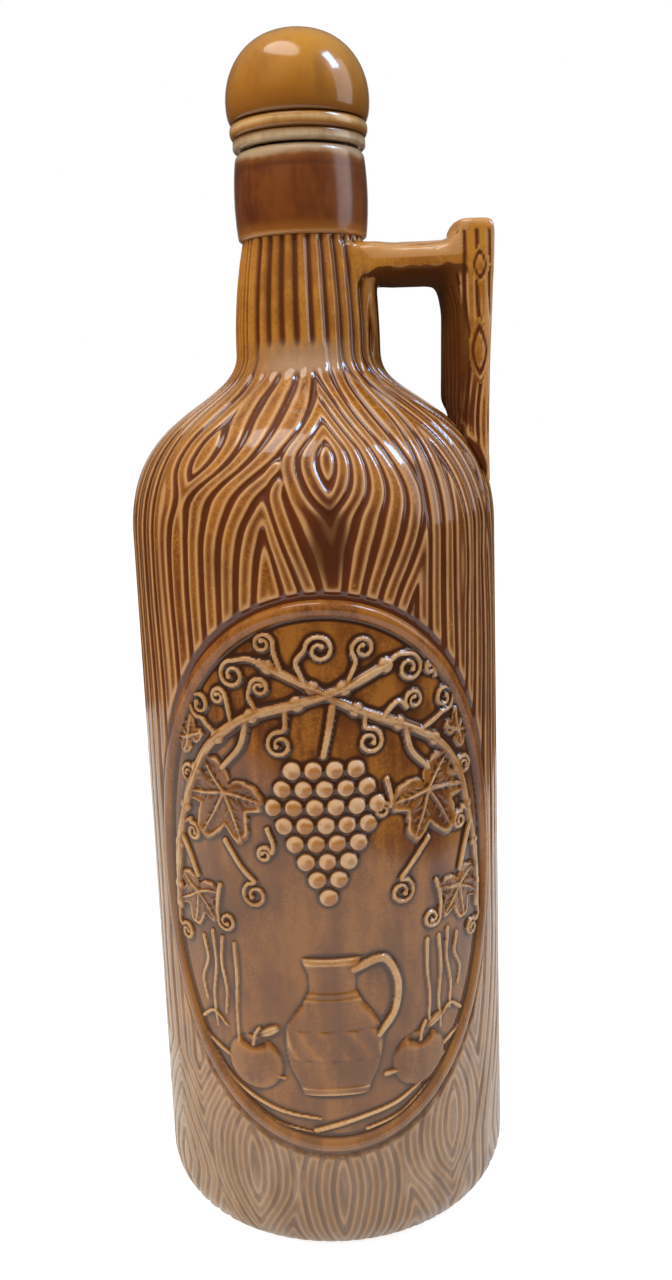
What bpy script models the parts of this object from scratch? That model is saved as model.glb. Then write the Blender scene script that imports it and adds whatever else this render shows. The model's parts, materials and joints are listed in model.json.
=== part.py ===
"""A stoneware liquor decanter: a cast bottle, a slab handle, an oval relief panel and a corked stopper.

Units are metres and +Z is up. The origin is the middle of the foot, on the table. The relief panel faces -Y and the
handle stands at +X.
"""

import math

import bmesh
import bpy
from mathutils import Matrix, Vector

# Fits shared by all the pieces
GAP = 0.0003
OVERRUN = 0.004
WELD = 0.00001
BOND_DEPTH = 0.006

# Cast bottle, outside
BODY_RADIUS = 0.0442
FOOT_RADIUS = 0.0360
FOOT_WIDTH = 0.0040
FOOT_RECESS = 0.0025
HEEL_HEIGHT = 0.0100
SHOULDER_Z = 0.1712
SHOULDER_HEIGHT = 0.0418
NECK_FOOT_RADIUS = 0.0170
NECK_TOP_RADIUS = 0.0142
NECK_HEIGHT = 0.0255
COLLAR_RADIUS = 0.0157
COLLAR_END_RADIUS = 0.0152
COLLAR_HEIGHT = 0.0195
COLLAR_EDGE = 0.0008
LIP_ROUND = 0.0020

# Cast bottle, inside
WALL = 0.0045
FLOOR = 0.0065
FLOOR_ROUND = 0.0080
MOUTH_RADIUS = 0.0106
SEAT_END_RADIUS = 0.0100
SEAT_DEPTH = 0.0260

# How full the shoulder is above, and how wide the neck flares below, as shares of the shoulder's height
SHOULDER_PULL_SHARE = 0.73
NECK_PULL_SHARE = 0.305

# Ribs of the neck, which run out on the shoulder
RIB_COUNT = 30
RIB_DEPTH = 0.0005
RIB_RUNOUT = 0.0200

# Slab handle: an arm from the neck, and a slab that stands on the shoulder and ends in a stub above the arm
HANDLE_WIDTH = 0.0270
ARM_ROOT_WIDTH = 0.0220
ARM_TOP_DROP = 0.0008
ARM_THICKNESS = 0.0076
ARM_EDGE_INSET = 0.0024
STUB_HEIGHT = 0.0026
STUB_WIDTH = 0.0066
STUB_SLOPE = 0.0032
STUB_ROUND = 0.0012
SLAB_INSET = 0.0011
SLAB_LEAN = 0.0012
SLAB_THICKNESS = 0.0084
SLAB_EDGE_INSET = 0.0028
SLAB_FACE_INSET = 0.0005
HOLE_CORNER = 0.0050

# Oval relief panel
PANEL_HALF_WIDTH = 0.0475
PANEL_HALF_HEIGHT = 0.0660
PANEL_CENTRE_Z = 0.0940
PANEL_SEAT = 0.0018
PANEL_SINK = 0.0003
RIM_WIDTH = 0.0040
RIM_HEIGHT = 0.0013

# Relief on the panel: places are shares of the panel's half width and half height, from its centre
RELIEF_MIDDLE_SHARE = 0.35
VINE_RADIUS = 0.0013
VINE_RISE = 0.0010
UNDER_VINE_RISE = 0.0007
TWIG_RADIUS = 0.0008
TWIG_RISE = 0.0008
CURL_RADIUS = 0.0032
GRAPE_RADIUS = 0.0023
GRAPE_RISE = 0.0011
GRAPE_GAP = 0.0001
LEAF_LENGTH = 0.0145
SIDE_LEAF_LENGTH = 0.0095
LEAF_RISE = 0.0006
JUG_HEIGHT = 0.0340
JUG_RADIUS = 0.0116
JUG_RISE = 0.0011
FRUIT_RADIUS = 0.0072
FRUIT_RISE = 0.0010
LEFT_CANE_SHARES = (
    (-0.86, -0.14), (-0.84, 0.06), (-0.78, 0.21), (-0.69, 0.36), (-0.56, 0.50), (-0.36, 0.60), (-0.12, 0.65),
    (0.11, 0.70), (0.32, 0.77),
)
RIGHT_CANE_SHARES = (
    (0.86, -0.18), (0.85, 0.02), (0.80, 0.17), (0.73, 0.34), (0.59, 0.47), (0.40, 0.55), (0.17, 0.62),
    (-0.06, 0.71), (-0.28, 0.79),
)
TWIG_SHARES = (
    ((-0.36, 0.60), (-0.40, 0.50), (-0.50, 0.42)),
    ((0.40, 0.55), (0.43, 0.46), (0.52, 0.39)),
    ((0.05, 0.64), (0.03, 0.56), (0.0, 0.47)),
    ((-0.81, 0.15), (-0.74, 0.06), (-0.70, 0.0)),
    ((0.81, 0.15), (0.76, 0.06), (0.72, -0.02)),
)
# Curls: centre, where the outer end starts as a share of a turn, and which way it winds
CURL_SHARES = (
    ((-0.42, 0.745), 0.55, 1), ((0.0, 0.83), 0.75, 1), ((0.43, 0.745), -0.05, -1), ((0.63, 0.62), 0.05, -1),
    ((-0.62, 0.63), 0.45, 1), ((-0.20, 0.51), 0.22, 1), ((0.22, 0.51), 0.28, -1), ((-0.36, -0.03), 0.25, 1),
    ((0.36, -0.04), 0.25, -1),
)
CURL_TURNS = 1.25
CURL_INNER_SHARE = 0.35
GRAPE_ROWS = (4, 5, 6, 5, 4, 3, 2, 1)
GRAPE_TOP_SHARE = 0.42
GRAPE_ROW_SHARE = 0.9
# Leaves: place, and the direction of the tip as a share of a turn
LEAF_SHARES = (((-0.50, 0.33), 0.66), ((0.52, 0.31), 0.84))
SIDE_LEAF_SHARES = (((-0.70, -0.06), 0.72), ((0.71, -0.08), 0.78))
# Half a vine leaf: direction from the tip as a share of half a turn, and reach as a share of its length
LEAF_OUTLINE_SHARES = (
    (0.0, 1.0), (0.08, 0.74), (0.16, 0.58), (0.29, 0.90), (0.37, 0.66), (0.46, 0.50), (0.60, 0.72), (0.75, 0.52),
    (0.92, 0.36), (1.0, 0.12),
)
# The jug's side, from rim to foot: radius and height as shares of the jug's
JUG_PROFILE_SHARES = (
    (0.57, 1.0), (0.46, 0.90), (0.45, 0.78), (0.62, 0.68), (0.96, 0.50), (1.0, 0.36), (0.88, 0.18), (0.66, 0.05),
    (0.64, 0.0),
)
JUG_HANDLE_SHARES = ((0.44, 0.92), (1.03, 0.97), (1.32, 0.80), (1.25, 0.58), (0.90, 0.42))
JUG_FOOT_SHARES = (0.0, -0.77)
FRUIT_SHARES = ((-0.41, -0.665), (0.44, -0.68))

# Stopper
FLANGE_RADIUS = 0.0155
FLANGE_HEIGHT = 0.0029
FLANGE_ROUND = 0.0010
RING_RADIUS = 0.0160
RING_HEIGHT = 0.0042
GROOVE_DEPTH = 0.0010
DOME_RADIUS = 0.0167
DOME_RISE = 0.0144
DOME_SKIRT = 0.0052
SOCKET_DEPTH = 0.0115
CORK_HEAD_RADIUS = 0.0103
CORK_TIP_RADIUS = 0.0092
CORK_REACH = 0.0220
CORK_CHAMFER = 0.0012

# Fineness of round forms
TURN_STEPS = 2 * RIB_COUNT
STOPPER_STEPS = 48
OVAL_STEPS = 64
ARC_STEPS = 4
SHOULDER_STEPS = 12
THROAT_STEPS = 6
NECK_STEPS = 4
PANEL_STRIPS = 15
RIM_STEPS = 5
VINE_STEPS = 2
VINE_ROUNDNESS = 1
TWIG_ROUNDNESS = 0
CURL_STEPS = 10
GRAPE_STEPS = 8
FRUIT_STEPS = 10
JUG_STEPS = 16
HANDLE_SECTIONS = 8

# Heights that follow from the sizes above
NECK_FOOT_Z = SHOULDER_Z + SHOULDER_HEIGHT
COLLAR_Z = NECK_FOOT_Z + NECK_HEIGHT
MOUTH_Z = COLLAR_Z + COLLAR_HEIGHT
STOPPER_Z = MOUTH_Z + GAP

# How deep the relief's forms are let into the panel: half its thickness
RELIEF_BED = (PANEL_SEAT - GAP - PANEL_SINK) / 2


def clear_scene():
    """Removes the objects that the file opened with."""
    for obj in list(bpy.data.objects):
        bpy.data.objects.remove(obj, do_unlink=True)


def new_collection(name):
    collection = bpy.data.collections.new(name)
    bpy.context.scene.collection.children.link(collection)
    return collection


def new_material(name, colour, roughness):
    """A glaze, clay or cork: a Principled shader with its colour and roughness."""
    material = bpy.data.materials.new(name)
    material.use_nodes = True
    material.diffuse_color = (*colour, 1.0)
    shader = material.node_tree.nodes["Principled BSDF"]
    shader.inputs["Base Color"].default_value = (*colour, 1.0)
    shader.inputs["Roughness"].default_value = roughness
    shader.inputs["Metallic"].default_value = 0.0
    return material


def new_object(name, mesh, collection, material=None):
    obj = bpy.data.objects.new(name, mesh)
    collection.objects.link(obj)
    if material:
        mesh.materials.append(material)
    return obj


def make_cutter(obj):
    """Keeps a helper out of the model."""
    obj.hide_render = True
    obj.display_type = "WIRE"
    return obj


def arc(centre, radius_x, radius_z, start, end, steps=ARC_STEPS):
    """Points on an ellipse's arc about a centre, from one angle to the other, in degrees."""
    points = []
    for i in range(steps + 1):
        angle = math.radians(start + (end - start) * i / steps)
        points.append((centre[0] + radius_x * math.cos(angle), centre[1] + radius_z * math.sin(angle)))
    return points


def bezier(start, start_pull, end_pull, end, steps):
    """Points on a cubic curve between two points."""
    points = []
    for i in range(steps + 1):
        t = i / steps
        s = 1 - t
        weights = (s**3, 3 * s * s * t, 3 * s * t * t, t**3)
        corners = (start, start_pull, end_pull, end)
        points.append(tuple(sum(w * c[k] for w, c in zip(weights, corners)) for k in (0, 1)))
    return points


def offset(points, distance):
    """A profile moved sideways, to the left of its own direction."""
    moved = []
    for i, point in enumerate(points):
        before = Vector(points[max(i - 1, 0)])
        after = Vector(points[min(i + 1, len(points) - 1)])
        along = (after - before).normalized()
        moved.append((point[0] - distance * along.y, point[1] + distance * along.x))
    return moved


def neck_radius(z):
    """The neck narrows slowly above its foot and faster under the collar."""
    share = (z - NECK_FOOT_Z) / NECK_HEIGHT
    return NECK_FOOT_RADIUS + (NECK_TOP_RADIUS - NECK_FOOT_RADIUS) * share**2


def outer_radius(z):
    """The bottle's outer radius at a height between the shoulder's foot and the collar."""
    if z >= NECK_FOOT_Z:
        return neck_radius(z)
    for (low_radius, low), (high_radius, high) in zip(shoulder_profile(), shoulder_profile()[1:]):
        if low <= z <= high:
            return low_radius + (high_radius - low_radius) * (z - low) / (high - low)
    return BODY_RADIUS


def shoulder_profile(steps=SHOULDER_STEPS):
    """The shoulder, from the body up to the neck, as (radius, z)."""
    return bezier(
        (BODY_RADIUS, SHOULDER_Z),
        (BODY_RADIUS, SHOULDER_Z + SHOULDER_PULL_SHARE * SHOULDER_HEIGHT),
        (NECK_FOOT_RADIUS, NECK_FOOT_Z - NECK_PULL_SHARE * SHOULDER_HEIGHT),
        (NECK_FOOT_RADIUS, NECK_FOOT_Z),
        steps,
    )


def neck_profile(steps=NECK_STEPS):
    """The neck, from its foot up to the collar, as (radius, z)."""
    heights = [NECK_FOOT_Z + NECK_HEIGHT * i / steps for i in range(steps + 1)]
    return [(neck_radius(z), z) for z in heights]


def collar_profile():
    """The smooth collar, from the neck up to the lip's crown, as (radius, z)."""
    lip_centre = (COLLAR_END_RADIUS - LIP_ROUND, MOUTH_Z - LIP_ROUND)
    return [
        (COLLAR_END_RADIUS - COLLAR_EDGE, COLLAR_Z),
        (COLLAR_END_RADIUS, COLLAR_Z + COLLAR_EDGE),
        (COLLAR_RADIUS, COLLAR_Z + COLLAR_HEIGHT / 3),
        (COLLAR_RADIUS, MOUTH_Z - COLLAR_HEIGHT / 3),
        *arc(lip_centre, LIP_ROUND, LIP_ROUND, 0, 90),
    ]


def heel_profile():
    """The rounded heel, from the body down to the flat of the foot, as (radius, z)."""
    return arc((FOOT_RADIUS, HEEL_HEIGHT), BODY_RADIUS - FOOT_RADIUS, HEEL_HEIGHT, 0, -90)


def outside_profile():
    """The bottle's outside from the lip down to the foot, as (radius, z)."""
    rising = [*shoulder_profile(), *neck_profile()[1:], *collar_profile()]
    return [*reversed(rising), *heel_profile()]


def inside_profile():
    """The bottle's inside from the floor's middle up to the mouth, as (radius, z)."""
    inner = BODY_RADIUS - WALL
    corner = (inner - FLOOR_ROUND, FLOOR + FLOOR_ROUND)
    return [
        (0.0, FLOOR),
        *arc(corner, FLOOR_ROUND, FLOOR_ROUND, -90, 0),
        *offset(shoulder_profile(THROAT_STEPS), WALL),
        (SEAT_END_RADIUS, MOUTH_Z - SEAT_DEPTH),
        (MOUTH_RADIUS, MOUTH_Z - LIP_ROUND),
    ]


def underside_profile():
    """The foot ring and the hollow inside it, from the foot inwards, as (radius, z)."""
    inner = FOOT_RADIUS - FOOT_WIDTH
    return [(inner, 0.0), (inner - FOOT_RECESS, FOOT_RECESS), (0.0, FOOT_RECESS)]


def turned(name, profile, collection, material=None, steps=TURN_STEPS):
    """A turned solid: a profile from axis to axis, down its outer side, that a Screw modifier takes round Z."""
    mesh = bpy.data.meshes.new(name)
    edges = [(i, i + 1) for i in range(len(profile) - 1)]
    mesh.from_pydata([(r, 0.0, z) for r, z in profile], edges, [])
    obj = new_object(name, mesh, collection, material)
    screw = obj.modifiers.new("turn", "SCREW")
    screw.steps = steps
    screw.render_steps = steps
    screw.use_merge_vertices = True
    screw.merge_threshold = WELD
    screw.use_smooth_shade = True
    return obj


def as_mesh(obj, collection):
    """Makes an object's shape, modifiers and all, its own mesh, with its doubles welded."""
    bpy.context.view_layer.update()
    graph = bpy.context.evaluated_depsgraph_get()
    mesh = bpy.data.meshes.new_from_object(obj.evaluated_get(graph))
    name = obj.name
    place = obj.matrix_world.copy()
    bpy.data.objects.remove(obj, do_unlink=True)
    solid = new_object(name, mesh, collection)
    solid.matrix_world = place
    shape = bmesh.new()
    shape.from_mesh(mesh)
    bmesh.ops.remove_doubles(shape, verts=shape.verts, dist=WELD)
    bmesh.ops.recalc_face_normals(shape, faces=shape.faces)
    shape.to_mesh(mesh)
    shape.free()
    return solid


def boolean(obj, other, operation="DIFFERENCE"):
    """Cuts or joins with an exact Boolean."""
    modifier = obj.modifiers.new(operation.lower(), "BOOLEAN")
    modifier.operation = operation
    modifier.solver = "EXACT"
    modifier.object = other
    return modifier


def smooth(obj, angle=40):
    obj.data.shade_smooth()
    obj.data.set_sharp_from_angle(angle=math.radians(angle))


def oval_plaque(name, inset, bottom, top, collection, steps=()):
    """A flat oval solid: X runs along the body, -Y out of it, Z up. Each step insets its face and raises it."""
    shape = bmesh.new()
    bmesh.ops.create_circle(shape, cap_ends=True, segments=OVAL_STEPS, radius=1)
    bmesh.ops.scale(shape, vec=(PANEL_HALF_WIDTH - inset, PANEL_HALF_HEIGHT - inset, 1), verts=shape.verts)
    bmesh.ops.translate(shape, vec=(0, 0, bottom), verts=shape.verts)
    made = bmesh.ops.extrude_face_region(shape, geom=list(shape.faces), use_keep_orig=True)["geom"]
    face = next(item for item in made if isinstance(item, bmesh.types.BMFace))
    bmesh.ops.translate(shape, vec=(0, 0, top - bottom), verts=face.verts)
    bmesh.ops.recalc_face_normals(shape, faces=shape.faces)
    for width, rise in steps:
        bmesh.ops.inset_region(shape, faces=[face], thickness=width, depth=rise, use_even_offset=True)
    shape.transform(Matrix.Rotation(math.radians(90), 4, "X"))
    mesh = bpy.data.meshes.new(name)
    shape.to_mesh(mesh)
    shape.free()
    return new_object(name, mesh, collection)


def slice_for_bending(obj, half_width, strips):
    """Cuts a flat piece's faces into upright strips, so that it can be bent round the body."""
    shape = bmesh.new()
    shape.from_mesh(obj.data)
    for i in range(1, strips):
        across = half_width * (2 * i / strips - 1)
        bmesh.ops.bisect_plane(
            shape,
            geom=[*shape.verts, *shape.edges, *shape.faces],
            dist=WELD,
            plane_co=(across, 0, 0),
            plane_no=(1, 0, 0),
        )
    shape.to_mesh(obj.data)
    shape.free()


def bend_round_body(obj):
    """Wraps a flat piece round the body: its X becomes the way round, and its -Y the way out."""
    for vertex in obj.data.vertices:
        across, inwards, up = vertex.co
        angle = across / BODY_RADIUS
        radius = BODY_RADIUS - inwards
        vertex.co = (radius * math.sin(angle), -radius * math.cos(angle), PANEL_CENTRE_Z + up)
    obj.data.update()


def rim_steps():
    """The rim's rounded section as small insets and rises, from its outer foot to its inner foot."""
    crown = [math.sin(math.pi * i / RIM_STEPS) ** 0.75 for i in range(RIM_STEPS + 1)]
    rises = [RIM_HEIGHT * (b - a) for a, b in zip(crown, crown[1:])]
    return [(RIM_WIDTH / RIM_STEPS, rise) for rise in rises]


def on_panel(across_share, up_share):
    """A place on the flat panel's face, from shares of its half width and half height."""
    return Vector((across_share * PANEL_HALF_WIDTH, 0.0, up_share * PANEL_HALF_HEIGHT))


def smooth_path(knots, steps):
    """A smooth line through the knots, with some steps between each two."""
    ends = [knots[0] * 2 - knots[1], *knots, knots[-1] * 2 - knots[-2]]
    path = []
    for before, start, end, after in zip(ends, ends[1:], ends[2:], ends[3:]):
        for i in range(steps):
            t = i / steps
            path.append(
                start
                + (end - before) * (t / 2)
                + (before * 2 - start * 5 + end * 4 - after) * (t**2 / 2)
                + (start * 3 - before - end * 3 + after) * (t**3 / 2)
            )
    return [*path, knots[-1]]


def tube(name, path, radius, roundness, cutters):
    """A round line along a path, with closed ends."""
    curve = bpy.data.curves.new(name, "CURVE")
    curve.dimensions = "3D"
    curve.bevel_depth = radius
    curve.bevel_resolution = roundness
    curve.use_fill_caps = True
    spline = curve.splines.new("POLY")
    spline.points.add(len(path) - 1)
    for point, place in zip(spline.points, path):
        point.co = (*place, 1.0)
    return as_mesh(new_object(name, curve, cutters), cutters)


def curl_path(centre, start, way):
    """A tendril's spiral, from its outer end in."""
    path = []
    for i in range(CURL_STEPS + 1):
        along = i / CURL_STEPS
        reach = CURL_RADIUS * (1 - (1 - CURL_INNER_SHARE) * along)
        turn = 2 * math.pi * (start + way * CURL_TURNS * along)
        path.append(centre + Vector((reach * math.cos(turn), 0.0, reach * math.sin(turn))))
    return path


def ball(name, centres, radius, steps, cutters):
    """Balls of one size at the centres, as one helper."""
    shape = bmesh.new()
    for centre in centres:
        bmesh.ops.create_uvsphere(
            shape, u_segments=steps, v_segments=steps // 2, radius=radius, matrix=Matrix.Translation(centre)
        )
    mesh = bpy.data.meshes.new(name)
    shape.to_mesh(mesh)
    shape.free()
    return new_object(name, mesh, cutters)


def grape_centres():
    """The bunch: rows of grapes that hang from the crossing vines, each row centred below the last."""
    pitch = 2 * GRAPE_RADIUS + GRAPE_GAP
    top = on_panel(0.0, GRAPE_TOP_SHARE)
    centres = []
    for row, count in enumerate(GRAPE_ROWS):
        for i in range(count):
            across = (i - (count - 1) / 2) * pitch
            centres.append(top + Vector((across, 0.0, -row * pitch * GRAPE_ROW_SHARE)))
    return centres


def leaf(name, place, tip_share, length, cutters):
    """A lobed vine leaf, cut from flat stuff."""
    half = list(LEAF_OUTLINE_SHARES)
    outline = [*half, *((-turn, reach) for turn, reach in reversed(half[1:-1]))]
    curve = bpy.data.curves.new(name, "CURVE")
    curve.dimensions = "2D"
    curve.fill_mode = "BOTH"
    curve.extrude = LEAF_RISE
    spline = curve.splines.new("POLY")
    spline.points.add(len(outline) - 1)
    spline.use_cyclic_u = True
    for point, (turn_share, reach_share) in zip(spline.points, outline):
        turn = math.pi * turn_share
        point.co = (length * reach_share * math.cos(turn), length * reach_share * math.sin(turn), 0.0, 1.0)
    obj = as_mesh(new_object(name, curve, cutters), cutters)
    obj.data.transform(
        Matrix.Translation(place)
        @ Matrix.Rotation(math.radians(90), 4, "X")
        @ Matrix.Rotation(2 * math.pi * tip_share, 4, "Z")
    )
    return obj


def jug(cutters):
    """A turned jug, which stands upright on the panel's face."""
    profile = [(radius * JUG_RADIUS, height * JUG_HEIGHT) for radius, height in JUG_PROFILE_SHARES]
    body = as_mesh(turned("jug", [(0.0, JUG_HEIGHT), *profile, (0.0, 0.0)], cutters, steps=JUG_STEPS), cutters)
    body.data.transform(Matrix.Translation(on_panel(*JUG_FOOT_SHARES)))
    return body


def jug_handle(cutters):
    foot = on_panel(*JUG_FOOT_SHARES)
    knots = [foot + Vector((x * JUG_RADIUS, 0.0, z * JUG_HEIGHT)) for x, z in JUG_HANDLE_SHARES]
    return tube("jug_handle", smooth_path(knots, VINE_STEPS), VINE_RADIUS, VINE_ROUNDNESS, cutters)


def raise_on_panel(panel, form, half_depth, rise):
    """Flattens a form to its rise, lets its back into the flat panel and joins the two."""
    middle = PANEL_SINK + RELIEF_MIDDLE_SHARE * RELIEF_BED
    front = PANEL_SINK - rise
    back = PANEL_SINK + RELIEF_BED
    for vertex in form.data.vertices:
        out = -vertex.co.y / half_depth
        vertex.co.y = middle + (out * (front - middle) if out > 0 else -out * (back - middle))
    boolean(panel, make_cutter(form), "UNION")


def raise_relief(panel, cutters):
    """The still life on the panel: two vines that cross, leaves, a bunch of grapes, a jug and two fruits."""
    for name, shares, rise in (
        ("over_cane", LEFT_CANE_SHARES, VINE_RISE),
        ("under_cane", RIGHT_CANE_SHARES, UNDER_VINE_RISE),
    ):
        path = smooth_path([on_panel(*share) for share in shares], VINE_STEPS)
        raise_on_panel(panel, tube(name, path, VINE_RADIUS, VINE_ROUNDNESS, cutters), VINE_RADIUS, rise)
    for i, (place, tip_share) in enumerate(LEAF_SHARES):
        form = leaf(f"leaf_{i}", on_panel(*place), tip_share, LEAF_LENGTH, cutters)
        raise_on_panel(panel, form, LEAF_RISE, LEAF_RISE)
    for i, (place, tip_share) in enumerate(SIDE_LEAF_SHARES):
        form = leaf(f"side_leaf_{i}", on_panel(*place), tip_share, SIDE_LEAF_LENGTH, cutters)
        raise_on_panel(panel, form, LEAF_RISE, LEAF_RISE)
    for i, shares in enumerate(TWIG_SHARES):
        path = smooth_path([on_panel(*share) for share in shares], VINE_STEPS)
        form = tube(f"twig_{i}", path, TWIG_RADIUS, TWIG_ROUNDNESS, cutters)
        raise_on_panel(panel, form, TWIG_RADIUS, TWIG_RISE)
    for i, (place, start_share, way) in enumerate(CURL_SHARES):
        path = curl_path(on_panel(*place), start_share, way)
        form = tube(f"curl_{i}", path, TWIG_RADIUS, TWIG_ROUNDNESS, cutters)
        raise_on_panel(panel, form, TWIG_RADIUS, TWIG_RISE)
    raise_on_panel(panel, jug_handle(cutters), VINE_RADIUS, VINE_RISE)
    raise_on_panel(panel, jug(cutters), JUG_RADIUS, JUG_RISE)
    grapes = ball("grapes", grape_centres(), GRAPE_RADIUS, GRAPE_STEPS, cutters)
    raise_on_panel(panel, grapes, GRAPE_RADIUS, GRAPE_RISE)
    fruits = ball("fruits", [on_panel(*share) for share in FRUIT_SHARES], FRUIT_RADIUS, FRUIT_STEPS, cutters)
    raise_on_panel(panel, fruits, FRUIT_RADIUS, FRUIT_RISE)


def make_panel(collection, cutters, material):
    """The oval panel: a plaque with a rounded rim and a relief, seated in the body's shallow pocket."""
    panel = oval_plaque("relief_panel", GAP, GAP - PANEL_SEAT, -PANEL_SINK, collection, rim_steps())
    raise_relief(panel, cutters)
    panel = as_mesh(panel, collection)
    slice_for_bending(panel, PANEL_HALF_WIDTH, PANEL_STRIPS)
    bend_round_body(panel)
    panel.data.materials.clear()
    panel.data.materials.append(material)
    smooth(panel)
    return panel


def make_panel_pocket(cutters):
    """What the panel's seat takes out of the body."""
    pocket = oval_plaque("panel_pocket", 0.0, -PANEL_SEAT, OVERRUN, cutters)
    slice_for_bending(pocket, PANEL_HALF_WIDTH, PANEL_STRIPS)
    bend_round_body(pocket)
    return make_cutter(pocket)


def rib_neck(bottle):
    """Presses the neck's grooves in: every other line of points goes inwards, less and less down the shoulder."""
    for vertex in bottle.data.vertices:
        x, y, z = vertex.co
        radius = math.hypot(x, y)
        if not NECK_FOOT_Z - RIB_RUNOUT < z < COLLAR_Z + GAP or radius < NECK_TOP_RADIUS - GAP:
            continue
        line = round(math.atan2(y, x) / (2 * math.pi) * TURN_STEPS)
        if line % 2 and outer_radius(z) - radius < WALL / 2:
            depth = RIB_DEPTH * min(1, (z - NECK_FOOT_Z + RIB_RUNOUT) / RIB_RUNOUT)
            vertex.co.x -= depth * x / radius
            vertex.co.y -= depth * y / radius
    bottle.data.update()


def make_bottle(collection, cutters, glaze):
    """The cast bottle: a hollow turned shell from foot to collar, with the panel's pocket."""
    profile = [*inside_profile(), *outside_profile(), *underside_profile()]
    bottle = as_mesh(turned("bottle_body", profile, collection), collection)
    bottle.data.materials.clear()
    bottle.data.materials.append(glaze)
    rib_neck(bottle)
    boolean(bottle, make_panel_pocket(cutters))
    smooth(bottle)
    return bottle


def make_bottle_envelope(cutters):
    """The bottle's outside grown by the gap, which cuts the handle to its seat."""
    outside = outside_profile()
    profile = [(0.0, MOUTH_Z + GAP), *offset(outside, GAP), (0.0, -GAP)]
    return make_cutter(as_mesh(turned("bottle_envelope", profile, cutters), cutters))


def handle_outline(inset_share):
    """The handle seen from the front, as (x, z), drawn in by a share of its edges' insets.

    It has the arm, the stub and the slab. The arm and the slab both run on into the bottle.
    """
    arm_inset = ARM_EDGE_INSET * inset_share
    arm_top = COLLAR_Z - ARM_TOP_DROP - arm_inset
    arm_under = COLLAR_Z - ARM_TOP_DROP - ARM_THICKNESS + arm_inset
    stub_top = COLLAR_Z - ARM_TOP_DROP + STUB_HEIGHT - SLAB_FACE_INSET * inset_share
    slab_outer = BODY_RADIUS - SLAB_INSET - SLAB_FACE_INSET * inset_share
    slab_inner = BODY_RADIUS - SLAB_INSET - SLAB_THICKNESS + SLAB_EDGE_INSET * inset_share
    stub_left = BODY_RADIUS - SLAB_INSET - STUB_WIDTH
    inside = NECK_TOP_RADIUS - BOND_DEPTH
    hole_left = NECK_FOOT_RADIUS - arm_inset
    stub_corner = (slab_outer - STUB_ROUND, stub_top - STUB_ROUND)
    hole_right_corner = (slab_inner - HOLE_CORNER, arm_under - HOLE_CORNER)
    hole_left_corner = (hole_left + HOLE_CORNER, arm_under - HOLE_CORNER)
    return [
        (inside, arm_top),
        (NECK_FOOT_RADIUS, arm_top),
        (stub_left - STUB_SLOPE, arm_top),
        (stub_left, stub_top),
        *arc(stub_corner, STUB_ROUND, STUB_ROUND, 90, 0),
        (slab_outer - SLAB_LEAN, SHOULDER_Z),
        (slab_inner - SLAB_LEAN, SHOULDER_Z),
        *arc(hole_right_corner, HOLE_CORNER, HOLE_CORNER, 0, 90),
        *arc(hole_left_corner, HOLE_CORNER, HOLE_CORNER, 90, 180),
        (inside, arm_under - HOLE_CORNER),
    ]


def handle_half_width(x):
    """Half the handle's width, which narrows evenly from the slab's face to the neck, so that its sides are flat."""
    along = (x - NECK_TOP_RADIUS) / (BODY_RADIUS - SLAB_INSET - NECK_TOP_RADIUS)
    return (ARM_ROOT_WIDTH + (HANDLE_WIDTH - ARM_ROOT_WIDTH) * along) / 2


def loft(name, rings, collection):
    """A closed solid through rings of points that all have the same count, with flat caps at both ends."""
    shape = bmesh.new()
    rows = [[shape.verts.new(point) for point in ring] for ring in rings]
    for lower, upper in zip(rows, rows[1:]):
        for i in range(len(lower)):
            j = (i + 1) % len(lower)
            shape.faces.new((lower[i], lower[j], upper[j], upper[i]))
    shape.faces.new(rows[0])
    shape.faces.new(rows[-1])
    bmesh.ops.recalc_face_normals(shape, faces=shape.faces)
    mesh = bpy.data.meshes.new(name)
    shape.to_mesh(mesh)
    shape.free()
    return new_object(name, mesh, collection)


def make_handle(collection, cutters, glaze):
    """The slab handle: a loft from front to back through outlines that draw in towards its rounded edges."""
    rings = []
    for i in range(HANDLE_SECTIONS + 1):
        turn = math.pi * (i / HANDLE_SECTIONS - 1 / 2)
        outline = handle_outline(1 - math.cos(turn))
        rings.append([(x, handle_half_width(x) * math.sin(turn), z) for x, z in outline])
    handle = loft("handle", rings, collection)
    handle.data.materials.append(glaze)
    boolean(handle, make_bottle_envelope(cutters))
    smooth(handle)
    return handle


def stopper_profile():
    """The stopper's head: a flange, a ring and a squat dome, round a socket for the cork, as (radius, z)."""
    flange_top = STOPPER_Z + FLANGE_HEIGHT
    ring_top = flange_top + RING_HEIGHT
    equator = ring_top + DOME_SKIRT
    groove = FLANGE_RADIUS - GROOVE_DEPTH
    socket = CORK_HEAD_RADIUS + GAP
    skirt = arc((groove, equator), DOME_RADIUS - groove, DOME_SKIRT, -90, 0)
    dome = arc((0.0, equator), DOME_RADIUS, DOME_RISE, 0, 90, 2 * ARC_STEPS)
    ring = arc((groove, ring_top - RING_HEIGHT / 2), RING_RADIUS - groove, RING_HEIGHT / 2, 90, -90)
    low = arc((FLANGE_RADIUS - FLANGE_ROUND, flange_top - FLANGE_HEIGHT / 2), FLANGE_ROUND, FLANGE_HEIGHT / 2, 90, -90)
    return [
        *reversed(dome),
        *list(reversed(skirt))[1:],
        *ring[1:],
        *low,
        (socket, STOPPER_Z),
        (socket, STOPPER_Z + SOCKET_DEPTH),
        (0.0, STOPPER_Z + SOCKET_DEPTH),
    ]


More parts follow.
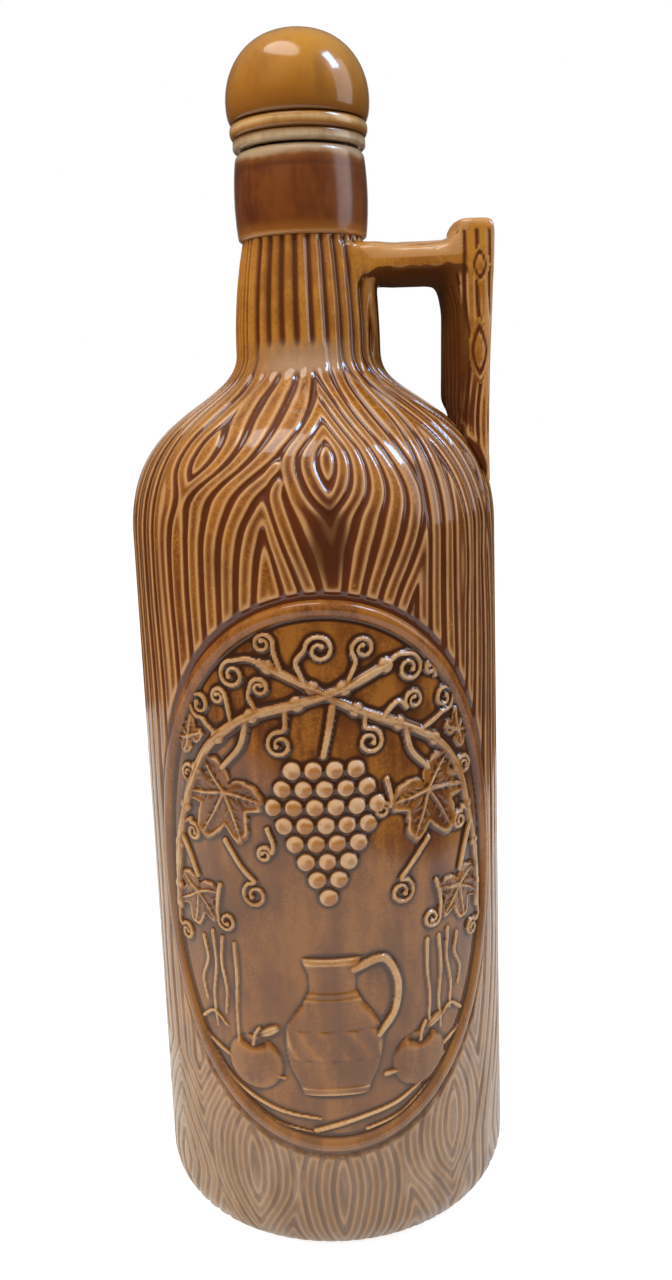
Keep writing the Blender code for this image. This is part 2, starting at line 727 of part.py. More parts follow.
def cork_profile():
    """The cork: straight in the head's socket, tapered in the bottle's mouth, as (radius, z)."""
    top = STOPPER_Z + SOCKET_DEPTH - GAP
    tip = STOPPER_Z - CORK_REACH
    return [
        (0.0, top),
        (CORK_HEAD_RADIUS - CORK_CHAMFER, top),
        (CORK_HEAD_RADIUS, top - CORK_CHAMFER),
        (CORK_HEAD_RADIUS, STOPPER_Z),
        (CORK_TIP_RADIUS, tip + CORK_CHAMFER),
        (CORK_TIP_RADIUS - CORK_CHAMFER, tip),
        (0.0, tip),
    ]


def make_stopper(collection, glaze, cork):
    """The stopper's glazed head and the cork glued into it, which lift out together."""
    head = turned("stopper_head", stopper_profile(), collection, glaze, STOPPER_STEPS)
    plug = turned("stopper_cork", cork_profile(), collection, cork, STOPPER_STEPS)
    return head, plug


def main():
    clear_scene()
    pieces = new_collection("liquor_decanter")
    cutters = new_collection("cutters")
    grain_glaze = new_material("grain_glaze", (0.30, 0.12, 0.03), 0.18)
    panel_glaze = new_material("panel_glaze", (0.25, 0.10, 0.035), 0.18)
    stopper_glaze = new_material("stopper_glaze", (0.42, 0.20, 0.05), 0.15)
    cork = new_material("cork", (0.62, 0.44, 0.27), 0.85)
    make_bottle(pieces, cutters, grain_glaze)
    make_handle(pieces, cutters, grain_glaze)
    make_panel(pieces, cutters, panel_glaze)
    make_stopper(pieces, stopper_glaze, cork)


main()
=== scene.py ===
import json
import math

import bpy
import numpy as np
from bpy.props import FloatProperty, FloatVectorProperty, IntProperty, PointerProperty
from mathutils import Matrix, Vector

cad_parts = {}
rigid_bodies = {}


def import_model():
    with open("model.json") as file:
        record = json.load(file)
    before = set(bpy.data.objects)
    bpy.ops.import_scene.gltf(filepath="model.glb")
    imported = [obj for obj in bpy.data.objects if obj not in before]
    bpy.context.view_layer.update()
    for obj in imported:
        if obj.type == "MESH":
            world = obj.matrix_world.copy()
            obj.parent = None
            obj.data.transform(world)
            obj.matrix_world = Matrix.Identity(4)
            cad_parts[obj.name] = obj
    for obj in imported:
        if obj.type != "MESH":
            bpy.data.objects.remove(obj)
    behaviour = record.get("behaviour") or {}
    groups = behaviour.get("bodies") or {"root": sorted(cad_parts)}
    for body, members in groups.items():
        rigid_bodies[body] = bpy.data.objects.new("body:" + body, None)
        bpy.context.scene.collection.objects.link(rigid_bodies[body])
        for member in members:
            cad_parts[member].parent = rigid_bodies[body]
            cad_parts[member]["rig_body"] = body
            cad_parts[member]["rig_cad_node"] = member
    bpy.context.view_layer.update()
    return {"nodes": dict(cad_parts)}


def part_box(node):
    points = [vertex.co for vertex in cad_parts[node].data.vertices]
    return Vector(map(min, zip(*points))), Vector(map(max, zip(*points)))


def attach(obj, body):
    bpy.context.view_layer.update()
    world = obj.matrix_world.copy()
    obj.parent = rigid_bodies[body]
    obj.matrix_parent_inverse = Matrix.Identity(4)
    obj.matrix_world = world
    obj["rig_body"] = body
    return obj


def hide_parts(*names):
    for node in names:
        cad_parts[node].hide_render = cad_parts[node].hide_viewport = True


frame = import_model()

bl_info = {
    "name": "Wood-grain decanter",
    "version": (1, 0, 0),
    "blender": (4, 5, 0),
    "location": "View3D > Sidebar > Decanter",
    "description": "Dresses the packed decanter in carved, glazed stoneware",
    "category": "Object",
}

MM = 0.001


# Settings


class BottleSizes(bpy.types.PropertyGroup):
    """Sizes of the bottle that the skin is laid over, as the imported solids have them."""

    body_radius: FloatProperty(name="Body radius", description="Radius of the straight body",
                               default=0.0442, unit="LENGTH")
    foot_radius: FloatProperty(name="Foot radius", description="Outer radius of the foot",
                               default=0.036, unit="LENGTH")
    foot_width: FloatProperty(name="Foot width", description="Width of the ring it stands on",
                              default=0.004, unit="LENGTH")
    foot_recess: FloatProperty(name="Foot recess", description="Depth of the hollow under the base",
                               default=0.0025, unit="LENGTH")
    heel_height: FloatProperty(name="Heel height", description="Height of the rounded heel",
                               default=0.010, unit="LENGTH")
    shoulder_z: FloatProperty(name="Shoulder foot", description="Height at which the shoulder starts",
                              default=0.1712, unit="LENGTH")
    neck_foot_z: FloatProperty(name="Neck foot", description="Height at which the neck starts",
                               default=0.213, unit="LENGTH")
    neck_foot_radius: FloatProperty(name="Neck foot radius", description="Radius of the neck's foot",
                                    default=0.017, unit="LENGTH")
    neck_top_radius: FloatProperty(name="Neck top radius", description="Radius of the neck under the collar",
                                   default=0.0142, unit="LENGTH")
    collar_z: FloatProperty(name="Collar foot", description="Height of the collar's lower edge",
                            default=0.2385, unit="LENGTH")
    collar_radius: FloatProperty(name="Collar radius", description="Largest radius of the collar",
                                 default=0.0157, unit="LENGTH")
    collar_end_radius: FloatProperty(name="Collar end radius", description="Radius at the collar's ends",
                                     default=0.0152, unit="LENGTH")
    mouth_z: FloatProperty(name="Mouth height", description="Height of the lip", default=0.258, unit="LENGTH")
    mouth_radius: FloatProperty(name="Mouth radius", description="Radius of the mouth",
                                default=0.0106, unit="LENGTH")
    wall: FloatProperty(name="Wall", description="Thickness of the wall", default=0.0045, unit="LENGTH")


class GrainSizes(bpy.types.PropertyGroup):
    """Sizes of the carved wood grain."""

    depth: FloatProperty(name="Groove depth", description="Depth of a groove on the body",
                         default=0.00058, unit="LENGTH")
    neck_depth: FloatProperty(name="Rib depth", description="Depth between the neck's ribs",
                              default=0.00075, unit="LENGTH")
    channel: FloatProperty(name="Channel depth", description="Depth of the channel round the oval",
                           default=0.0008, unit="LENGTH")
    front_columns: IntProperty(name="Front columns", description="Columns of the front half's grid",
                               default=348)
    back_columns: IntProperty(name="Back columns", description="Columns of the back half's grid", default=280)
    upper_rows: IntProperty(name="Upper rows", description="Rows above the split", default=250)
    lower_rows: IntProperty(name="Lower rows", description="Rows below the split", default=330)
    split_z: FloatProperty(name="Split height", description="Height at which the skin is split",
                           default=0.150, unit="LENGTH")


class PanelSizes(bpy.types.PropertyGroup):
    """Sizes of the oval relief panel."""

    half_width: FloatProperty(name="Half width", description="Half the oval's width, measured round the body",
                              default=0.0475, unit="LENGTH")
    half_height: FloatProperty(name="Half height", description="Half the oval's height",
                               default=0.066, unit="LENGTH")
    centre_z: FloatProperty(name="Centre height", description="Height of the oval's middle",
                            default=0.094, unit="LENGTH")
    rim_width: FloatProperty(name="Rim width", description="Width of the rounded rim",
                             default=0.004, unit="LENGTH")
    rim_height: FloatProperty(name="Rim height", description="Height of the rim above the body",
                              default=0.00093, unit="LENGTH")
    pitch: FloatProperty(name="Grid pitch", description="Size of the panel's grid cells",
                         default=0.000325, unit="LENGTH")


class GlazeColours(bpy.types.PropertyGroup):
    """Colours of the glaze, from pooled dark to thin pale."""

    dark: FloatVectorProperty(name="Pooled", description="Glaze pooled in a groove",
                              default=(0.098, 0.024, 0.004), subtype="COLOR")
    red: FloatVectorProperty(name="Thick", description="Thick red-brown glaze",
                             default=(0.125, 0.026, 0.005), subtype="COLOR")
    amber: FloatVectorProperty(name="Amber", description="Glaze of middling thickness",
                               default=(0.34, 0.118, 0.015), subtype="COLOR")
    gold: FloatVectorProperty(name="Gold", description="Thin golden glaze",
                              default=(0.52, 0.215, 0.030), subtype="COLOR")
    pale: FloatVectorProperty(name="Broken edge", description="Glaze broken thin over an edge",
                              default=(0.58, 0.275, 0.090), subtype="COLOR")
    cream: FloatVectorProperty(name="Cream", description="Bare clay under clear glaze",
                               default=(0.55, 0.33, 0.17), subtype="COLOR")
    cork: FloatVectorProperty(name="Cork", description="Bare cork",
                              default=(0.50, 0.30, 0.15), subtype="COLOR")


class StageLook(bpy.types.PropertyGroup):
    """The plain studio that the decanter stands in."""

    floor: FloatVectorProperty(name="Floor", description="Colour of the floor",
                               default=(0.62, 0.60, 0.55), subtype="COLOR")
    table_place: FloatVectorProperty(name="Table", default=(-0.13, 0.05), size=2, unit="LENGTH",
                                     description="Middle of the pale table top that the glaze reflects")
    table_radius: FloatProperty(name="Table radius", description="Radius of that table top",
                                default=0.42, unit="LENGTH")
    table_level: FloatProperty(name="Table light", description="How brightly it shows in the glaze",
                               default=0.28)
    room_level: FloatProperty(name="Room light", description="Strength of the even light from all round",
                              default=0.40)
    dim_level: FloatProperty(name="Room seen in the glaze", description="Strength of the room's reflection",
                             default=0.075)
    window_power: FloatProperty(name="Window power", description="Power of the high window",
                                default=5.0, unit="POWER")
    wall_power: FloatProperty(name="Wall power", description="Power of the pale wall under the window",
                              default=3.8, unit="POWER")
    sky_power: FloatProperty(name="Overhead power", description="Power of the soft light above",
                             default=2.4, unit="POWER")
    front_power: FloatProperty(name="Front power", description="Power of the soft light in front",
                               default=12.0, unit="POWER")


def sizes(group):
    """A settings group's lengths in millimetres, by name."""
    settings = getattr(bpy.context.scene, group)
    return {key: getattr(settings, key) / MM for key in settings.__annotations__
            if isinstance(getattr(settings, key), float)}


# Curves and fields


def smoothstep(low, high, value):
    t = np.clip((value - low) / (high - low), 0, 1)
    return t * t * (3 - 2 * t)


def soft(at, knots, blur=2.0):
    """Straight lines through the knots, with the corners softened over the blur."""
    places, values = zip(*sorted(knots))
    return sum(np.interp(at + blur * step, places, values) for step in (-1, -.6, -.2, .2, .6, 1)) / 6


def outside_profile():
    """The bottle's outside from foot to collar, as radius, height and distance along it, in mm."""
    b = sizes("bottle_sizes")
    turn = np.radians(np.linspace(-90, 0, 24))
    heel = np.stack([b["foot_radius"] + (b["body_radius"] - b["foot_radius"]) * np.cos(turn),
                     b["heel_height"] * (1 + np.sin(turn))], 1)
    rise = b["neck_foot_z"] - b["shoulder_z"]
    pulls = np.array([(b["body_radius"], b["shoulder_z"]), (b["body_radius"], b["shoulder_z"] + .73 * rise),
                      (b["neck_foot_radius"], b["neck_foot_z"] - .305 * rise),
                      (b["neck_foot_radius"], b["neck_foot_z"])])
    t = np.linspace(0, 1, 120)[:, None]
    shoulder = ((1 - t) ** 3 * pulls[0] + 3 * (1 - t) ** 2 * t * pulls[1] + 3 * (1 - t) * t ** 2 * pulls[2]
                + t ** 3 * pulls[3])
    share = np.linspace(0, 1, 40)[1:]
    neck = np.stack([b["neck_foot_radius"] + (b["neck_top_radius"] - b["neck_foot_radius"]) * share ** 2,
                     b["neck_foot_z"] + (b["collar_z"] - b["neck_foot_z"]) * share], 1)
    points = np.concatenate([heel, shoulder, neck])
    along = np.concatenate([[0], np.cumsum(np.hypot(*np.diff(points, axis=0).T))])
    return points[:, 0], points[:, 1], along


RIB = 9.257      # mm of the body's girth from one neck rib to the next
FIRST_RIB = 3.5


def rib_place(n):
    return FIRST_RIB + RIB * n


GUIDES = []      # (place knots, left value knots, right value knots), each (height, value)


def guide(place, left, right=None):
    GUIDES.append((place, left, right or left))


def crest(n, body):
    """A fold in the grain that gives its lines up on to the neck."""
    more = body - 8
    guide([(0, rib_place(n))], [(155, body), (165, body - .3), (175, 8 + more * .7), (188, 8 + more * .4),
                                (198, 8 + more * .15), (207, 8.0)])


def knot(n, body, height, core, body_s=None, reach=8):
    """A fold that closes round a knot at a height."""
    s = rib_place(n) if body_s is None else body_s
    guide([(178, s), (200, rib_place(n))],
          [(0, body), (height - 26, body), (height - reach * 1.9, core + 1.6), (height - reach, core + .58),
           (height - 3, core + .08), (height, core), (height + 3, core + .08), (height + reach, core + .58),
           (height + reach * 1.9, core + 1.5), (max(height + 24, 207), 6.0), (260, 6.0)])


def lay_guides():
    """The lines that the shoulder's grain follows, from the back round the left, the front and the right."""
    GUIDES.clear()
    n = rib_place
    crest(-14, 10.4)
    knot(-12, 6.4, 170, 4.42, reach=9)
    crest(-10, 11.0)
    knot(-8, 7.4, 184, 5.42, body_s=-73.6, reach=7)
    guide([(165, -58), (178, -57), (190, -53), (200, n(-6) + 1), (212, n(-6))],
          [(150, 11), (160, 10.8), (172, 10.2), (183, 9.6), (192, 9.0), (200, 8.4), (207, 8.0)])
    # the knot on the left of the shoulder
    right = [(170, 4.6), (176, 4.5), (180, 4.3), (183, 4.5), (185.5, 5.0), (188, 5.5), (190.5, 5.62),
             (193.5, 5.55), (197.8, 5.0), (203, 4.7), (208, 4.95), (212, 5.0)]
    guide([(0, -34), (160, -33.6), (175, -33), (178.5, -33), (183, -32.2), (187, -30.6), (191, -29.2),
           (197, -28),
           (205, -25.8), (212, n(-3))], [(z, 10 - v) for z, v in right], right)
    # the long line that runs from it down to the oval
    guide([(155, -24.4), (172, -23.8), (183, -21), (186, -16.8), (190, -12.2), (194.7, -8.2), (199.6, -4.8),
           (206, -1.6), (212, n(-.5))], [(60, 7), (110, 2.5)])
    # the tent of lines left of the middle
    guide([(0, -10.4), (161, -10.5), (175, -10.8), (183, -11.3), (186.5, -10.9), (190, -11.2), (194, -7.6),
           (199, -3.8),
           (206, -1.3), (212, n(-.5) + .1)],
          [(60, 8), (110, -.95), (150, -.95), (161, -.77), (168, -.5), (175.5, 0), (179, .5), (183, 1.0),
           (186.5, 1.75), (190, 2.35), (194.7, 2.45), (212, 2.49)])
    guide([(0, -1), (150, -.2), (161, -3.4), (172, -7.4), (183, -10.9), (186.5, -9.6), (190, -10.2),
           (194, -6.6),
           (199, -2.6), (206, -.6), (212, n(-.5) + 1.0)],
          [(60, 8), (110, 1), (183, 1.0), (186.5, 1.35), (190, 2.2), (194.7, 2.3), (199, 2.3), (212, 2.4)])
    guide([(150, 3), (161, .6), (172, -3.2), (183, -6.8), (186.5, -7.9), (190, -8.9), (194, -5.3),
           (199, -1.4),
           (206, .3), (212, n(-.5) + 1.6)],
          [(60, 8), (110, 0), (161, 0), (183, 0), (186.5, 1.0), (190, 2.0), (199, 2.15), (212, 2.33)],
          [(60, 8), (110, 2.0), (190, 2.0), (199, 2.15), (212, 2.33)])
    # the knot in the middle of the shoulder
    side = [(60, 9), (110, 2.4), (150, 2.45), (161, 2.45), (170, 2.4), (177.5, 2.0), (182.7, 1.0), (187, .5),
            (189.7, .42), (191, .5), (193, 1.0), (197.5, 2.0)]
    guide([(178, 3.2), (190, 3.5)],
          [(z, v - 1) for z, v in side] + [(201.5, 1.7), (207, 2.0)],
          side + [(201.5, 2.9), (207, 4.0)])
    # the right of the shoulder
    guide([(150, 12), (161, 14.3), (171.5, 18.9), (180, 21.6), (185, 20.9), (192.6, 17.7), (198, 14.4),
           (205, 12.8), (212, n(1))],
          [(60, 9), (110, 5.05), (205, 5.05), (212, 5.0)])
    guide([(0, 25), (140, 26), (152, 27.5), (165, 32.5), (175, 33), (185, 31), (198, 26.5), (205, 23.5),
           (212, n(2))],
          [(150, 9.5), (158, 9.0), (164, 8.5), (170, 8.0), (175, 7.7), (182, 7.45), (190, 7.3), (198, 7.0),
           (204, 6.6), (209, 6.1), (212, 6.0)])
    guide([(130, 41.5), (150, 42), (165, 43), (175, 43), (183, 41.5), (192, 38.5), (200, 34.4), (206, 32.4),
           (212, n(3))], [(260, 5.0)])
    guide([(150, 52), (165, 51), (175, 50.5), (183, 50), (192, 48.5), (200, 45), (206, 42), (212, n(4))],
          [(165, 3.0), (174, 3.4), (180, 3.0), (186, 2.6), (195, 3.0), (204, 3.6), (212, 4.0)])
    # the handle's side and the back
    guide([(260, n(7))], [(260, 7.0)])
    guide([(178, n(9) + 3), (200, n(9))],
          [(146, 2.9), (157, 3.6), (168, 3.0), (173, 2.5), (176, 2.42), (179, 2.5), (184, 3.0), (193, 4.0),
           (206, 5.0)])
    guide([(260, n(12))], [(155, 9.0), (170, 8.6), (185, 8.2), (200, 8.0)])
    knot(14, 5.2, 181, 3.42, reach=8)


# knots low on the body: (degrees round, height, (height from the knot, lines) pairs, width of a line)
SMALL_KNOT = [(-30, 4), (-15, 2.3), (-8, 1), (0, .42), (9, 1), (17, 2), (27, 3), (40, 5)]
TALL_KNOT = [(-38, 4), (-22, 2.3), (-12, 1), (0, .42), (12, 1), (24, 2), (34, 3), (50, 5)]
LONG_KNOT = [(-60, 5), (-38, 2.4), (-24, 1), (0, .42), (18, 1), (32, 2), (44, 2.8), (60, 5)]
LOW_KNOTS = [
    (-27, 22.6,
     [(-30, 4), (-14.6, 1.9), (-9.6, 1.0), (-5.6, .5), (0, .35), (5.4, .5), (10.4, 1.0), (16.4, 2.0),
                 (22.4, 3.0), (37, 5)], 3.7),
    (1.4, 18.3,
     [(-30, 3), (-14.3, 1.2), (-10.3, .8), (-5.3, .5), (0, .35), (5.7, .55), (10.7, 1.0), (17.7, 2.0),
                 (31.7, 4)], 3.7),
    (39.5, 28.5,
     [(-38, 5), (-28.5, 3.5), (-20.5, 2.8), (-14.5, 2.0), (-9.5, 1.0), (-4.5, .5), (0, .35), (5.5, .5),
                  (10.5, 1.0), (17.5, 2.0), (25.5, 3.0), (37.5, 5)], 3.7),
    (84, 17, SMALL_KNOT, 4.2),
    (-62, 14, [(-30, 4), (-15, 2.3), (-8, 1), (0, .42), (7, 1), (13, 2), (20, 3), (30, 5)], 4.2),
    (-104, 27, TALL_KNOT, 4.2),
    (-150, 19, SMALL_KNOT, 4.2),
    (165, 30, TALL_KNOT, 4.2),
    (124, 20, SMALL_KNOT, 4.2),
    (180, 112, LONG_KNOT, 4.2),
    (-119, 98, LONG_KNOT, 4.2),
    (108, 84, LONG_KNOT, 4.2),
]


def guided_lines(s, z, girth):
    """Lines counted between the guides, each height on its own."""
    places = [soft(z, g[0], 2.5) for g in GUIDES]
    lefts = [soft(z, g[1], 1.3) for g in GUIDES]
    rights = [soft(z, g[2], 1.3) for g in GUIDES]
    places.append(places[0] + girth)
    lefts.append(lefts[0])
    rights.append(rights[0])
    s = (s - places[0]) % girth + places[0]
    out = np.zeros(np.shape(s))
    last = len(places) - 2
    for i in range(last + 1):
        start, end = places[i], np.maximum(places[i + 1], places[i] + .05)
        share = (s - start) / (end - start)
        inside = (share >= 0) & ((s < end) | (i == last))
        out = np.where(inside, rights[i] + (lefts[i + 1] - rights[i]) * np.clip(share, 0, 1), out)
    return out


def grain(s, z, radius):
    """How far a point is from the middle of a groove: 0 in the groove, 0.5 on the crown of a ridge.

    s is the way round, in mm on the body, from the front towards the handle.
    """
    girth = 2 * math.pi * radius
    waver = np.clip((235 - z) / 25, 0, 1)
    s = s + waver * (.45 * np.sin(z / 17 + s / 21) + .25 * np.sin(z / 7.3 - s / 13 + 1.3))
    s = (s + girth / 2) % girth - girth / 2
    pull = 13 * np.clip((72 - z) / 52, 0, 1) ** 1.3
    beside = np.clip((np.abs(s) - 8) / 25, 0, 1) * np.clip((95 - np.abs(s)) / 40, 0, 1)
    lines = guided_lines(s + np.sign(s) * pull * beside, np.maximum(z, 0), girth)
    for degrees, height, knots, width in LOW_KNOTS:
        across = (s - math.radians(degrees) * radius + girth / 2) % girth - girth / 2
        ring = (np.sqrt(across ** 2 + .09) - .3) / width + soft(z - height, knots, 1.5)
        lines = np.minimum(lines, ring)
    return np.abs((lines + .5) % 1 - .5)


def soft_min(a, b, k=.045):
    return -k * np.log(np.exp(-a / k) + np.exp(-b / k))


def oval_distance(s, t, half_width, half_height):
    """Distance outside an oval's edge, in mm; inside it is below nothing."""
    ratio = np.sqrt((s / half_width) ** 2 + (t / half_height) ** 2) + 1e-9
    slope = np.sqrt((s / half_width ** 2) ** 2 + (t / half_height ** 2) ** 2) / ratio + 1e-9
    return (ratio - 1) / slope


# Mesh helpers


def deselect():
    if bpy.context.object and bpy.context.object.mode != "OBJECT":
        bpy.ops.object.mode_set(mode="OBJECT")
    bpy.ops.object.select_all(action="DESELECT")


def select_only(piece):
    deselect()
    piece.select_set(True)
    bpy.context.view_layer.objects.active = piece


def finish_piece(piece, name, body, material, nodes, angle=None):
    """Names a piece, gives it its glaze, says what it rides on, and hides the imported parts that it stands
    for.
    """
    piece.name = piece.data.name = name
    piece.data.materials.clear()
    piece.data.materials.append(material)
    select_only(piece)
    if angle is None:
        bpy.ops.object.shade_smooth()
    else:
        bpy.ops.object.shade_smooth_by_angle(angle=math.radians(angle))
    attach(piece, body)
    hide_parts(*nodes)
    deselect()


def grid(columns, rows):
    """A flat grid, with each vertex's place across and up as shares from 0 to 1."""
    deselect()
    bpy.ops.mesh.primitive_grid_add(x_subdivisions=columns, y_subdivisions=rows, size=2, location=(0, 0, 0))
    piece = bpy.context.object
    flat = np.empty(len(piece.data.vertices) * 3)
    piece.data.vertices.foreach_get("co", flat)
    flat = flat.reshape(-1, 3)
    return piece, (flat[:, 0] + 1) / 2, (flat[:, 1] + 1) / 2


def place_vertices(piece, points):
    """Puts the vertices at points given in mm."""
    piece.data.vertices.foreach_set("co", (points * MM).ravel())
    piece.data.update()


def attribute(piece, name, values):
    layer = piece.data.attributes.new(name, "FLOAT", "POINT")
    layer.data.foreach_set("value", np.asarray(values, np.float32))


def delete_vertices(piece, doomed):
    select_only(piece)
    bpy.ops.object.mode_set(mode="EDIT")
    bpy.ops.mesh.select_mode(type="VERT")
    bpy.ops.mesh.select_all(action="DESELECT")
    bpy.ops.object.mode_set(mode="OBJECT")
    piece.data.vertices.foreach_set("select", doomed)
    bpy.ops.object.mode_set(mode="EDIT")
    bpy.ops.mesh.delete(type="VERT")
    bpy.ops.object.mode_set(mode="OBJECT")


def turned(profile, steps):
    """Draws a profile of (radius, height) points in mm and spins it round the bottle's axis."""
    deselect()
    first = Vector((profile[0][0] * MM, 0, profile[0][1] * MM))
    bpy.ops.mesh.primitive_plane_add(size=MM, location=first)
    bpy.ops.object.mode_set(mode="EDIT")
    bpy.ops.mesh.select_all(action="SELECT")
    bpy.ops.mesh.merge(type="CENTER")
    for (radius_a, height_a), (radius_b, height_b) in zip(profile, profile[1:]):
        move = ((radius_b - radius_a) * MM, 0, (height_b - height_a) * MM)
        bpy.ops.mesh.extrude_vertices_move(TRANSFORM_OT_translate={"value": move})
    bpy.ops.mesh.select_all(action="SELECT")
    bpy.ops.mesh.spin(steps=steps, angle=2 * math.pi, center=(0, 0, 0), axis=(0, 0, 1))
    bpy.ops.mesh.select_all(action="SELECT")
    bpy.ops.mesh.remove_doubles(threshold=1e-6)
    bpy.ops.mesh.normals_make_consistent(inside=False)
    bpy.ops.object.mode_set(mode="OBJECT")
    bpy.ops.object.transform_apply(location=True, rotation=True, scale=True)
    return bpy.context.object


def merged_copy(node, name):
    """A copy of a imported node's mesh with its loose triangles joined."""
    deselect()
    piece = frame["nodes"][node].copy()
    piece.data = piece.data.copy()
    piece.parent = None
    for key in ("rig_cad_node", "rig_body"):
        if key in piece:
            del piece[key]
    bpy.context.scene.collection.objects.link(piece)
    piece.name = name
    piece.hide_render = piece.hide_viewport = False
    piece.select_set(True)
    bpy.context.view_layer.objects.active = piece
    bpy.ops.object.mode_set(mode="EDIT")
    bpy.ops.mesh.select_all(action="SELECT")
    bpy.ops.mesh.remove_doubles(threshold=1e-6)
    bpy.ops.object.mode_set(mode="OBJECT")
    return piece


def modify(piece, kind, **settings):
    """Adds a modifier and applies it at once."""
    modifier = piece.modifiers.new(kind, kind)
    for key, value in settings.items():
        setattr(modifier, key, value)
    bpy.context.view_layer.objects.active = piece
    bpy.ops.object.modifier_apply(modifier=modifier.name)


def spread_out(piece, values, rounds):
    """Averages a value or a place over each vertex's neighbours, some rounds long."""
    edges = np.empty(len(piece.data.edges) * 2, int)
    piece.data.edges.foreach_get("vertices", edges)
    a, b = edges.reshape(-1, 2).T
    count = np.bincount(edges, minlength=len(values)).astype(float)[:, None]
    for _ in range(rounds):
        total = np.zeros_like(values)
        np.add.at(total, a, values[b])
        np.add.at(total, b, values[a])
        values = .5 * values + .5 * total / count
    return values


def points_of(piece):
    flat = np.empty(len(piece.data.vertices) * 3)
    piece.data.vertices.foreach_get("co", flat)
    return flat.reshape(-1, 3) / MM


def normals_of(piece):
    flat = np.empty(len(piece.data.vertices) * 3)
    piece.data.vertex_normals.foreach_get("vector", flat)
    return flat.reshape(-1, 3)


# Shader maths


def operator_pair(operation):
    """A shader's maths operator, and the same with its two sides the other way round."""

    def plain(self, other):
        return self.shader.node("ShaderNodeMath", {"operation": operation}, {0: self, 1: other})

    def reflected(self, other):
        return self.shader.node("ShaderNodeMath", {"operation": operation}, {0: other, 1: self})

    return plain, reflected


class Value:
    """A shader socket that can be reckoned with like a number."""

    __add__, __radd__ = operator_pair("ADD")
    __sub__, __rsub__ = operator_pair("SUBTRACT")
    __mul__, __rmul__ = operator_pair("MULTIPLY")
    __truediv__, __rtruediv__ = operator_pair("DIVIDE")
    __pow__, __rpow__ = operator_pair("POWER")

    def __init__(self, shader, socket):
        self.shader, self.socket = shader, socket


class Shader:
    """A material's node tree, built from expressions."""

    def __init__(self, tree):
        self.tree = tree
        self.tree.nodes.clear()

    def node(self, kind, settings=None, inputs=None, output=0):
        made = self.tree.nodes.new(kind)
        for key, value in (settings or {}).items():
            if key == "stops":
                ramp = made.color_ramp
                while len(ramp.elements) < len(value):
                    ramp.elements.new(1)
                for element, (place, colour) in zip(ramp.elements, value):
                    element.position, element.color = place, (*colour, 1)
            else:
                setattr(made, key, value)
        for key, value in (inputs or {}).items():
            if isinstance(value, Value):
                self.tree.links.new(value.socket, made.inputs[key])
            elif isinstance(value, tuple) and len(value) == 3 and made.inputs[key].type == "RGBA":
                made.inputs[key].default_value = (*value, 1)
            else:
                made.inputs[key].default_value = value
        return Value(self, made.outputs[output]) if made.outputs else None

    def place(self):
        return self.node("ShaderNodeTexCoord", output="Object")

    def axis(self, name):
        return self.node("ShaderNodeSeparateXYZ", inputs={0: self.place()}, output=name)

    def value(self, name):
        return self.node("ShaderNodeAttribute", {"attribute_name": name}, output="Fac")

    def noise(self, scale, detail=2.0, roughness=0.5, stretch=None):
        place = self.place()
        if stretch:
            place = self.node("ShaderNodeMapping", inputs={"Vector": place, "Scale": stretch})
        return self.node("ShaderNodeTexNoise", inputs={"Vector": place, "Scale": scale, "Detail": detail,
                                                       "Roughness": roughness})

    def step(self, value, low, high):
        """0 below low, 1 above high, smooth between."""
        return self.node("ShaderNodeMapRange", {"interpolation_type": "SMOOTHSTEP"},
                         {"Value": value, "From Min": low, "From Max": high})

    def mix(self, factor, first, second):
        return self.node("ShaderNodeMix", {"data_type": "RGBA"}, {"Factor": factor, 6: first, 7: second},
                         output=2)

    def ramp(self, value, stops):
        return self.node("ShaderNodeValToRGB", {"stops": stops}, {"Fac": value}, output="Color")

    def bump(self, height, strength, distance):
        return self.node("ShaderNodeBump",
                         inputs={"Height": height, "Strength": strength, "Distance": distance})


def new_material(name):
    material = bpy.data.materials.new(name)
    material.use_nodes = True
    return material, Shader(material.node_tree)


def glaze(shader, colour, roughness, normal=None, coat=1.0, blur=.09):
    """The clear gloss over a coloured body."""
    inputs = {"Base Color": colour, "Roughness": roughness, "IOR": 1.5, "Coat Weight": coat,
              "Coat Roughness": blur, "Coat IOR": 1.55, "Metallic": 0.0, "Specular IOR Level": 0.1}
    if normal is not None:
        inputs["Normal"] = normal
    surface = shader.node("ShaderNodeBsdfPrincipled", inputs=inputs)
    shader.node("ShaderNodeOutputMaterial", inputs={"Surface": surface})


def colours():
    settings = bpy.context.scene.glaze_colours
    return {key: tuple(getattr(settings, key)) for key in settings.__annotations__}


def milky_and_reflected_haze_of(shader):
    """Where the glaze is painted milky, partly thinner glaze and partly a painted reflection of the pale
    table top: low on the bottle, and higher on its left.
    """
    across, up = shader.axis("X"), shader.axis("Z")
    return 1 - shader.step(up + across * .55 + (shader.noise(30, 2) - .5) * .016, .085, .122)


